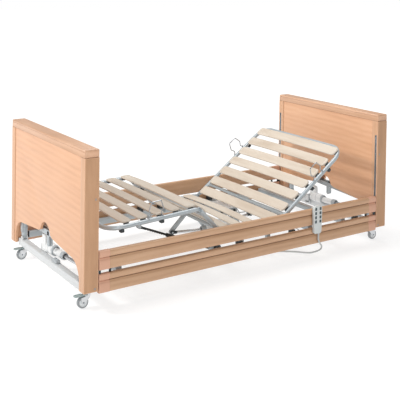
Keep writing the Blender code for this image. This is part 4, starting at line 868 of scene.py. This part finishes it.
def main_frame():
    tubes = [rect_tube("X", (-1.0030, 1.0030), times(side, SIDE_TUBE_Y), FRAME_Z) for side in (NEAR, FAR)]
    tubes += [rect_tube("Y", (-0.4375, 0.4375), about(x, 0.0175), (0.151, 0.182)) for x in CROSS_BEAM_XS]
    put(tubes, "main_frame_tubes", tube_paint, cad_node="mattress_frame")
    seat_tubes()
    clamps = []
    for x in (-0.220, -0.065, 0.338, 0.870):
        for side in (NEAR, FAR):
            clamps.append(box(about(x, 0.014), times(side, (0.4340, 0.4705)), (0.1575, 0.1900), 0.003, 3))
            clamps.append(box(about(x, 0.010), times(side, (0.4672, 0.4745)), (0.1300, 0.1720), 0.002, 2))
    put(clamps, "frame_clamps", dark_plastic)
    put([box(times(end, (1.0028, 1.0066)), times(side, (0.4378, 0.4662)), (0.1228, 0.1572), 0.0012, 2)
         for end in (FOOT, HEAD) for side in (NEAR, FAR)], "frame_end_plugs", dark_plastic)
    control_box()


# ---- actuators ----
def actuator(name, start, end, normal, length, r, rod_length, rod_radius):
    """Linear motor: clevis, gear housing, pale tube with a grey end cap, and the bright rod in its bore."""
    start, end, normal = Vector(start), Vector(end), Vector(normal).normalized()
    along = (end - start).normalized()
    up = normal.cross(along)
    place = Matrix.Translation(start) @ Matrix((along, normal, up)).transposed().to_4x4()
    motor, rod_body = f"{name}_motor", f"{name}_rod"
    bore = rod_radius + 0.0045
    neck = length - 0.032
    shell = turned([(0.034, r * 0.72), (0.037, r * 0.90), (0.043, r * 0.985), (0.060, r), (0.118, r),
                    (0.1205, r * 0.97), (0.1225, r * 0.90), (0.126, r * 0.88), (neck, r * 0.86), (neck, bore),
                    (0.050, bore)], sides=32)
    put(shell, f"{motor}_tube", white_plastic, motor, place, motor)
    cap = lathe([(length - 0.0315, bore), (length - 0.0315, r * 0.93), (length - 0.029, r * 0.97),
                 (length - 0.006, r * 0.97), (length - 0.002, r * 0.90), (length, r * 0.72), (length, bore)], sides=32)
    put([cap, lathe([(length - 0.0315, bore), (length, bore)], sides=32)], f"{motor}_cap", grey_plastic, motor, place)
    eye = [rounded_block(0.0130, 0.0128, 0.0068), box((0.006, 0.0345), about(0, 0.0068), about(0, 0.0098), 0.0015)]
    put(boolean(united(eye), [pin_y(0.0064)]), f"{motor}_eye", grey_plastic, motor, place)
    seam = lathe([(0, r * 0.995), (0.0006, r * 1.012), (0.0030, r * 1.012), (0.0036, r * 0.995)], (0.080, 0, 0),
                 sides=32)
    put(seam, f"{motor}_seam", grey_plastic, motor, place)

    place = Matrix.Translation(end) @ place.to_3x3().to_4x4()
    shaft = turned([(-rod_length, rod_radius - 0.001), (-rod_length + 0.001, rod_radius), (-0.020, rod_radius),
                    (-0.012, rod_radius)], sides=24)
    put(shaft, f"{rod_body}_bar", rod_metal, rod_body, place, rod_body)
    tip = [rounded_block(0.0120, 0.0118, 0.0068),
           turned([(-0.030, rod_radius + 0.0006), (-0.006, rod_radius + 0.0006)], sides=24)]
    put(boolean(united(tip), [pin_y(0.0064)]), f"{rod_body}_eye", dark_metal, rod_body, place)


# ---- lift ----
def roller(width, start, direction):
    return turned([(0, 0.0085), (0.001, 0.0096), (width - 0.001, 0.0096), (width, 0.0085)], start, direction, 24)


def arm_plates(end, xs, knees, middle_half):
    """Cranked arm: bars through its three points, and one from above the middle down to the crossing."""
    first, elbow, last, middle_top, middle = knees
    return [bar(a, b, half, "X", times(end, xs), 0.0012)
            for a, b, half in ((first, elbow, ARM_HALF), (elbow, last, ARM_HALF), (middle_top, middle, middle_half))]


def lift_arms(end, name):
    base_z, top_z, mid_z = PIVOT["lift"].z, PIVOT["foot_platform_pivot"].z, PIVOT["foot_arm_crossing"].z
    body = f"{name}_arm_a"
    arm_a = arm_plates(end, ARM_A_X, ((ARM_Y, 0.190), (ARM_Y, 0.268), (-ARM_Y, top_z), (0.0, 0.279), (0.0, mid_z)),
                       0.013)
    arm_a += [box(times(end, (1.041, 1.057)), about(ARM_Y, 0.009), (base_z + 0.002, 0.160), 0.0015),
              pin_x(end, (1.060, 1.0445), 0.0, mid_z, 0.0078)]
    put(arm_a, f"{body}_plates", tube_paint, body, cad_node=f"{name}_lift_arm_a")
    column = [(0, 0.0165), (0.002, 0.0180), (0.040, 0.0180), (0.0405, 0.0203), (0.0505, 0.0203), (0.051, 0.0180),
              (0.093, 0.0180), (0.095, 0.0165)]
    put(turned(column, (end * COLUMN_X, ARM_Y, 0.155), (0, 0, 1), 30), f"{name}_column", tube_paint, body)
    put(roller(0.0135, (end * 1.058, -ARM_Y, top_z), (-end, 0, 0)), f"{body}_roller", dark_plastic, body)
    knuckle = boolean(pin_x(end, (1.0400, 1.0580), ARM_Y, base_z, 0.0095, 28),
                      [pin_x(end, (1.030, 1.0573), ARM_Y, base_z, 0.0064)])
    put(knuckle, f"{body}_knuckle", tube_paint, body)

    body = f"{name}_arm_b"
    arm_b = arm_plates(end, ARM_B_X, ((ARM_Y, top_z), (-ARM_Y, 0.248), (-ARM_Y, 0.1474), (0.0, 0.269), (0.0, mid_z)),
                       0.0135)
    through, hole = (1.03, 1.08), 0.0084
    boolean(united(arm_b), [pin_x(end, through, 0.0, mid_z, hole), pin_x(end, through, ARM_Y, top_z, hole),
                            box(times(end, through), about(-ARM_Y, 0.03), (0.100, 0.1332), 0.0)])
    put(arm_b[0], f"{body}_plates", tube_paint, body, cad_node=f"{name}_lift_arm_b")
    put([roller(0.0110, (end * 1.0562, -ARM_Y, base_z), (end, 0, 0)),
         pin_x(end, (1.047, 1.0075), *PIVOT[f"{name}_lift_rod_pivot"].yz, 0.0058)], f"{body}_roller", bolt_metal, body)


def ear_plates(end, layers, y, z, radius, half, foot, steps):
    outline = [(y + half, foot)] + arc((y, z), radius, 0, 180, steps) + [(y - half, foot)]
    return [prism(outline, "X", *times(end, xs), bevel=0.001) for xs in layers]


def chassis(end, name):
    """Base beam with its plugs, the ears of arm A and of the motor, and the latch on top."""
    body = f"{name}_chassis"
    xs = times(end, CHASSIS_X)
    put(rect_tube("Y", (-0.438, 0.438), xs, CHASSIS_Z, 0.006), f"{name}_base_beam", base_paint, body,
        cad_node=f"{name}_chassis_beam")
    put([box(xs, times(side, (0.4382, 0.4420)), (0.0882, 0.1298), 0.0016, 3) for side in (NEAR, FAR)],
        f"{name}_base_beam_plugs", grey_plastic, body)
    base_z = PIVOT["lift"].z
    y, z = PIVOT[f"{name}_lift_motor_pivot"].yz
    ears = ear_plates(end, ((1.0310, 1.0395), (1.0585, 1.0670)), ARM_Y, base_z, 0.012, 0.013, 0.1285, 12)
    ears.append(pin_x(end, (1.0300, 1.0565), ARM_Y, base_z, 0.0060))
    ears += ear_plates(end, ((0.9995, 1.0085), (1.0235, 1.0325)), y, z, 0.014, 0.014, 0.112, 14)
    ears.append(box(times(end, (0.9995, 1.0300)), about(y, 0.014), (0.100, 0.122), 0.001))
    ears.append(pin_x(end, (0.9985, 1.0335), y, z, 0.0059))
    put(ears, f"{name}_base_ears", base_paint, body)
    latch = [box(times(end, (1.036, 1.062)), (-0.100, -0.040), (0.1302, 0.148), 0.004, 3)]
    for y, r in ((-0.085, 0.010), (-0.057, 0.008)):
        latch.append(turned([(0, r), (0.002, r + 0.001), (0.004, r), (0.005, 0)], (end * COLUMN_X, y, 0.1478),
                            (0, 0, 1), 20))
    put(latch, f"{name}_base_latch", grey_plastic, body)


def lift_motor(end, name):
    """The lift's actuator, with its gear housing and drum round the motor tube."""
    pivot, rod_pivot = PIVOT[f"{name}_lift_motor_pivot"], PIVOT[f"{name}_lift_rod_pivot"]
    actuator(f"{name}_lift", pivot, rod_pivot, (end, 0, 0), 0.290, 0.022, 0.333, 0.010)
    motor = f"{name}_lift_motor"
    along = (rod_pivot - pivot).normalized()

    def housing(outline, axis, low, high, look, label, bevel=0.0, segments=2):
        """Casing bored along the motor tube's axis."""
        case = prism(outline, axis, low, high, bevel, segments, least=0.9)
        boolean(case, [rod(pivot + along * 0.018, pivot + along * 0.320, 0.0221, sides=36)])
        put(case, f"{motor}_{label}", look, motor, smooth=50)

    block = arc((0.134, 0.222), 0.014, 0, 90, 6) + arc((0.116, 0.218), 0.018, 90, 180, 6)
    block += [(0.098, 0.137), (0.148, 0.137)]
    housing(block, "X", end * 1.0090, end * 1.0425, white_plastic, "gear_housing", 0.0060, 4)
    low_x, high_x = sorted(times(end, (0.9900, 1.0425)))
    centre = ((low_x + high_x) / 2, 0.1645)
    drum = round_rect((low_x, 0.1335), (high_x, 0.1955), 0.0255, 10)
    housing(drum, "Y", 0.022, 0.101, white_plastic, "drum", 0.0050, 4)
    housing(scaled(drum, centre, 0.95, 0.95), "Y", 0.0060, 0.0225, grey_plastic, "end", 0.0040, 4)
    housing(scaled(drum, centre, 1.012, 1.012), "Y", 0.066, 0.0685, grey_plastic, "band")


# ---- castors ----
def castor(end, side):
    """Stamped fork with two legs round one wheel. Positions run from the swivel axis, away from the bed."""
    label = f"{ENDS[end]}_{SIDES[side]}"
    swivel = Vector((end * CASTOR_X, side * CASTOR_Y, 0))
    axle = PIVOT[f"castor_{label}_roll"]
    fork, wheel, pedal = f"castor_{label}_fork", f"castor_{label}_wheel", f"castor_{label}_pedal"

    def outwards(outline):
        return [(swivel.x + end * x, z) for x, z in outline]

    def block(x0, x1, half_width, zs, bevel, segments=2):
        return box((swivel.x + end * x0, swivel.x + end * x1), about(swivel.y, half_width), zs, bevel, segments)

    def on_axle(profile, sides):
        return turned(with_mirror(profile), axle, (0, 1, 0), sides)

    def cheeks(outline, inner, outer, bevel, least=0.6):
        """The same plate on both sides of the wheel's plane."""
        outline = outwards(outline)
        return [prism(outline, "Y", swivel.y + face * inner, swivel.y + face * outer, bevel=bevel, least=least)
                for face in (-1, 1)]

    head = turned([(0.0740, 0.0165), (0.0752, 0.0185), (0.0775, 0.0190), (0.0790, 0.0182), (0.0805, 0.0150),
                   (0.0812, 0.0150), (0.0825, 0.0178), (0.0835, 0.0172), (0.0840, 0.0080), (0.0876, 0.0080)],
                  swivel, (0, 0, 1), 32)
    put(head, f"{fork}_head", castor_metal, fork, cad_node=fork)
    leg = [(-0.016, 0.0744), (-0.0155, 0.0660), (-0.0120, 0.0540)] + arc((0.022, axle.z), 0.0092, 200, 340, 12)
    leg += [(0.0362, 0.0515), (0.0352, 0.0565), (0.0310, 0.0598), (0.0150, 0.0622), (0.0020, 0.0650),
            (-0.0010, 0.0690), (-0.0010, 0.0744)]
    stamping = cheeks(leg, 0.0125, 0.0155, 0.0009, 0.9)
    stamping += [block(-0.0152, -0.0014, 0.0150, (0.0642, 0.0752), 0.0015, 3),
                 block(-0.0030, 0.0138, 0.0059, (0.0646, 0.0752), 0.0010)]
    put(boolean(united(stamping), [pin_y(0.0049, *axle)]), f"{fork}_stamping", castor_metal, fork)

    tread = [(-0.0104, 0.0228), (-0.0104, 0.0272), (-0.0096, 0.0294), (-0.0078, 0.0305), (-0.0040, 0.0310)]
    tyre = [lathe(with_mirror(tread), axle, (0, 1, 0), 40), lathe(with_mirror(tread[:1]), axle, (0, 1, 0), 40)]
    put(tyre, f"{wheel}_tyre", tyre_rubber, wheel, cad_node=wheel)
    centre = [(-0.0104, 0.0080), (-0.0094, 0.0088), (-0.0062, 0.0100), (-0.0060, 0.0190), (-0.0080, 0.0212),
              (-0.0102, 0.0226)]
    put(on_axle(centre, 36), f"{wheel}_centre", wheel_plastic, wheel)
    put(on_axle([(-0.0176, 0.0040), (-0.0166, 0.0046)], 18), f"{wheel}_axle", bolt_metal, wheel)
    if end != FOOT:
        return

    near, tip, droop = 0.0245, 0.0720, 0.0016
    outline = [(near, -0.0135), (near + 0.010, -0.0166)] + arc((tip - 0.012, -0.0046), 0.0120, -90, 0, 7)
    outline = [(swivel.x + end * x, swivel.y + y) for x, y in with_mirror(outline, 1)]
    plate = prism(outline, "Z", 0.0662, 0.0712, bevel=0.0016, segments=3, least=0.9)
    for vert in plate.data.vertices:
        vert.co.z -= droop * (abs(vert.co.x - swivel.x) - near) / (tip - near) - 0.0012
    arm = [(0.0022, 0.0658), (0.0022, 0.0712), (0.0262, 0.0716), (0.0262, 0.0672), (0.0200, 0.0658)]
    ribs = [block(0.040 + 0.007 * k, 0.0425 + 0.007 * k, 0.0115, (0.0696, 0.0722), 0.0005) for k in range(4)]
    put([plate] + cheeks(arm, 0.0068, 0.0098, 0.0006) + ribs, f"{pedal}_plate", pedal_paint, pedal, cad_node=pedal)


# ---- ratchet stay ----
def ratchet():
    base, end = PIVOT["ratchet_sleeve_pivot"], PIVOT["ratchet_bar_pivot"]
    along = (end - base).normalized()
    normal = Vector((0, -1, 0))
    axes = Matrix((along, normal, along.cross(normal))).transposed().to_4x4()
    flip = 1 if along.cross(normal).z > 0 else -1
    sleeve = united([rounded_block(0.0113, 0.0112, 0.0079),
                     prism(round_rect((0.0, -0.0103), (0.318, 0.0103), 0.002, 3), "Y", -0.0079, 0.0079, bevel=0.001)])
    boolean(sleeve, [pin_y(0.0054), box((0.020, 0.335), about(0, 0.0055), about(0, 0.0085), 0.0)])
    put(sleeve, "ratchet_sleeve_body", dark_metal, "ratchet_sleeve", Matrix.Translation(base) @ axes, "ratchet_sleeve")
    length, pitch, half, thick = 0.440, 0.016, 0.0065, 0.0038
    outline = [(-length, -half)]
    for k in range(23):
        x = -length + 0.020 + k * pitch
        outline += [(x, -half), (x + 0.003, -0.0030), (x + pitch - 0.006, -0.0045), (x + pitch - 0.0035, -half)]
    outline += [(-0.012, -half), (-0.012, half), (-length, half)]
    toothed = united([prism([(x, flip * z) for x, z in outline], "Y", -thick, thick, 0.0004, 1, 0.9),
                      bar((-0.02, 0), (0, 0), 0.0090, "Y", (-thick, thick), 0.0006)])
    boolean(toothed, [pin_y(0.0044)])
    put(toothed, "ratchet_bar_body", dark_metal, "ratchet_bar", Matrix.Translation(end) @ axes, "ratchet_bar")


# ---- handset ----
def handset():
    low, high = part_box("handset_shell")
    middle_x = (low.x + high.x) / 2
    front, back = low.y, -0.5123
    half = [(0.020, low.z), (0.0265, low.z + 0.004), (0.0298, low.z + 0.012), (0.0312, 0.215), (0.0335, 0.300),
            (0.0335, 0.3105), (0.0318, 0.3200), (0.0270, 0.3265), (0.0180, 0.3305)]
    left = [(-dx, z) for dx, z in reversed(half)]
    outline = [(middle_x + dx, z) for dx, z in left[-1:] + half + [(0.0, 0.3325)] + left[:-1]]
    shell = prism(outline, "Y", front, back, bevel=0.0040, segments=4, least=1.2)
    buttons = sorted(name for name in frame["nodes"] if name.startswith("handset_button_"))

    def key(name, half_x, half_z, corner, *depths, **shape):
        c = (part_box(name)[0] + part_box(name)[1]) / 2
        outline = round_rect((c.x - half_x, c.z - half_z), (c.x + half_x, c.z + half_z), corner)
        return prism(outline, "Y", *depths, **shape)

    boolean(shell, [key(name, 0.0076, 0.0094, 0.0036, front - 0.01, front + 0.0055) for name in buttons])
    put(shell, "handset_case", shell_plastic, "near_rail", cad_node="handset_shell", smooth=40)
    hook = prism([(back - 0.001, 0.3105), (-0.4838, 0.3105), (-0.4838, 0.2920), (-0.4810, 0.2920), (-0.4810, 0.3145),
                  (back - 0.001, 0.3145)], "X", *about(middle_x, 0.012), bevel=0.0005)
    put(hook, "handset_hook", shell_plastic, "near_rail")
    band = prism(scaled(outline, (middle_x, 0.0), 1.004), "Y", front + 0.0125, front + 0.0135)
    put(band, "handset_seam", grey_plastic, "near_rail", smooth=40)
    for name in buttons:
        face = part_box(name)[0].y
        cap = key(name, 0.0069, 0.0087, 0.0030, face, face + 0.0047, bevel=0.0010, segments=3, least=0.9)
        put(cap, f"{name}_cap", button_rubber, name, cad_node=name)
    cable_x, hang = 0.494, (front + back) / 2
    collar = turned([(0, 0.0062), (0.004, 0.0066), (0.009, 0.0052), (0.022, 0.0046), (0.024, 0.0040)],
                    (cable_x, hang, low.z + 0.0005), (0, 0, -1), 20)
    put(collar, "handset_cable_collar", grey_plastic, "near_rail")
    route = [(cable_x, hang, low.z - 0.010), (0.495, hang, 0.118), (0.508, hang, 0.092), (0.5215, hang, 0.072),
             (0.516, hang + 0.001, 0.055), (0.485, hang + 0.002, 0.047), (0.430, -0.523, 0.048),
             (0.375, -0.519, 0.058), (0.325, -0.512, 0.069), (0.265, -0.498, 0.078), (0.205, -0.478, 0.084)]
    cable = tube(spline_path(route), 0.0050)
    put(cable, "handset_cable_run", cable_rubber, None, cad_node="handset_cable")
    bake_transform(cable)


for bed_end in (FOOT, HEAD):
    board(bed_end)
    lift_arms(bed_end, ENDS[bed_end])
    chassis(bed_end, ENDS[bed_end])
    lift_motor(bed_end, ENDS[bed_end])
    for bed_side in (NEAR, FAR):
        castor(bed_end, bed_side)
for bed_side in (NEAR, FAR):
    side_rail(bed_side)
lying_surface()
main_frame()
for section, sizes in (("backrest", (0.215, 0.0225, 0.250, 0.009)), ("thigh", (0.300, 0.0225, 0.385, 0.009))):
    actuator(section, PIVOT[f"{section}_motor_pivot"], PIVOT[f"{section}_rod_pivot"], (0, -1, 0), *sizes)
ratchet()
handset()


# ---- studio ----
def area_light(name, place, target, size, power, colour=(1, 1, 1)):
    light = bpy.data.lights.new(name, "AREA")
    light.shape = "RECTANGLE"
    light.size, light.size_y = size
    light.energy = power
    light.color = colour
    lamp = bpy.data.objects.new(name, light)
    bpy.context.scene.collection.objects.link(lamp)
    lamp.location = place
    lamp.rotation_euler = (Vector(target) - Vector(place)).to_track_quat("-Z", "Y").to_euler()


def studio():
    """Pale floor that brightens with distance, white surroundings and three soft lights."""
    scene = bpy.context.scene
    scene.view_settings.view_transform = "Standard"
    bm = bmesh.new()
    reach, floor_z = 30.0, -0.0004
    bm.faces.new([bm.verts.new((x * reach, y * reach, floor_z)) for x, y in ((-1, -1), (1, -1), (1, 1), (-1, 1))])
    floor = new_object(bm)
    floor.name = "studio_floor"
    floor.data.shade_smooth()
    made, tree, out = shader("studio_white", "floor")
    away = node(tree, "VectorMath", {0: node(tree, "TexCoord").outputs["Object"]}, operation="LENGTH").outputs["Value"]
    feed(tree, out, {"Base Color": (0.40, 0.40, 0.40, 1), "Roughness": 0.9, "Specular IOR Level": 0.0,
                     "Emission Color": (1.0, 1.0, 1.0, 1),
                     "Emission Strength": stretch(tree, away, 1.6, 6.0, 0.68, 1.0)})
    floor.data.materials.append(made)

    world = bpy.data.worlds.new("studio_world")
    scene.world = world
    world.use_nodes = True
    seen = node(world.node_tree, "LightPath").outputs["Is Camera Ray"]
    feed(world.node_tree, world.node_tree.nodes["Background"],
         {0: (1.0, 1.0, 1.0, 1), 1: stretch(world.node_tree, seen, 0.0, 1.0, 0.42, 1.0)})
    area_light("key", (-4.3, 1.6, 3.0), (0.2, 0, 0.4), (0.7, 0.7), 125, (1, 0.99, 0.97))
    area_light("overhead", (0.5, 0.3, 3.2), (0.2, 0, 0), (2.2, 2.0), 62)
    area_light("fill", (-2.4, -4.4, 1.6), (0, 0, 0.3), (1.6, 1.4), 62)


def main_camera():
    """Level camera with a shifted lens. The shift holds only at this place, so other views stay centred."""
    data = bpy.data.cameras.new("camera")
    camera = bpy.data.objects.new("camera", data)
    bpy.context.scene.collection.objects.link(camera)
    place = (-2.903, -4.278, 1.761)
    turn, tilt, roll = math.radians(-34.31), math.radians(1.49), math.radians(0.86)
    backward = Vector((math.sin(turn) * math.cos(tilt), -math.cos(turn) * math.cos(tilt), math.sin(tilt)))
    right = (-backward).cross(Vector((0, 0, 1))).normalized()
    up = backward.cross(right)
    x_axis = right * math.cos(roll) + up * math.sin(roll)
    y_axis = up * math.cos(roll) - right * math.sin(roll)
    axes = Matrix((x_axis, y_axis, backward)).transposed().to_4x4()
    camera.matrix_world = Matrix.Translation(place) @ axes
    data.sensor_width, data.lens = 36.0, 73.557
    for path_name, amount in (("shift_x", -0.0268), ("shift_y", -0.516)):
        driver = data.driver_add(path_name).driver
        variable = driver.variables.new()
        variable.name = "x"
        variable.targets[0].id = camera
        variable.targets[0].data_path = "location.x"
        driver.type = "SCRIPTED"
        driver.expression = f"{amount} * (abs(x + {-place[0]}) < 0.001)"
    bpy.context.scene.camera = camera


studio()
main_camera()
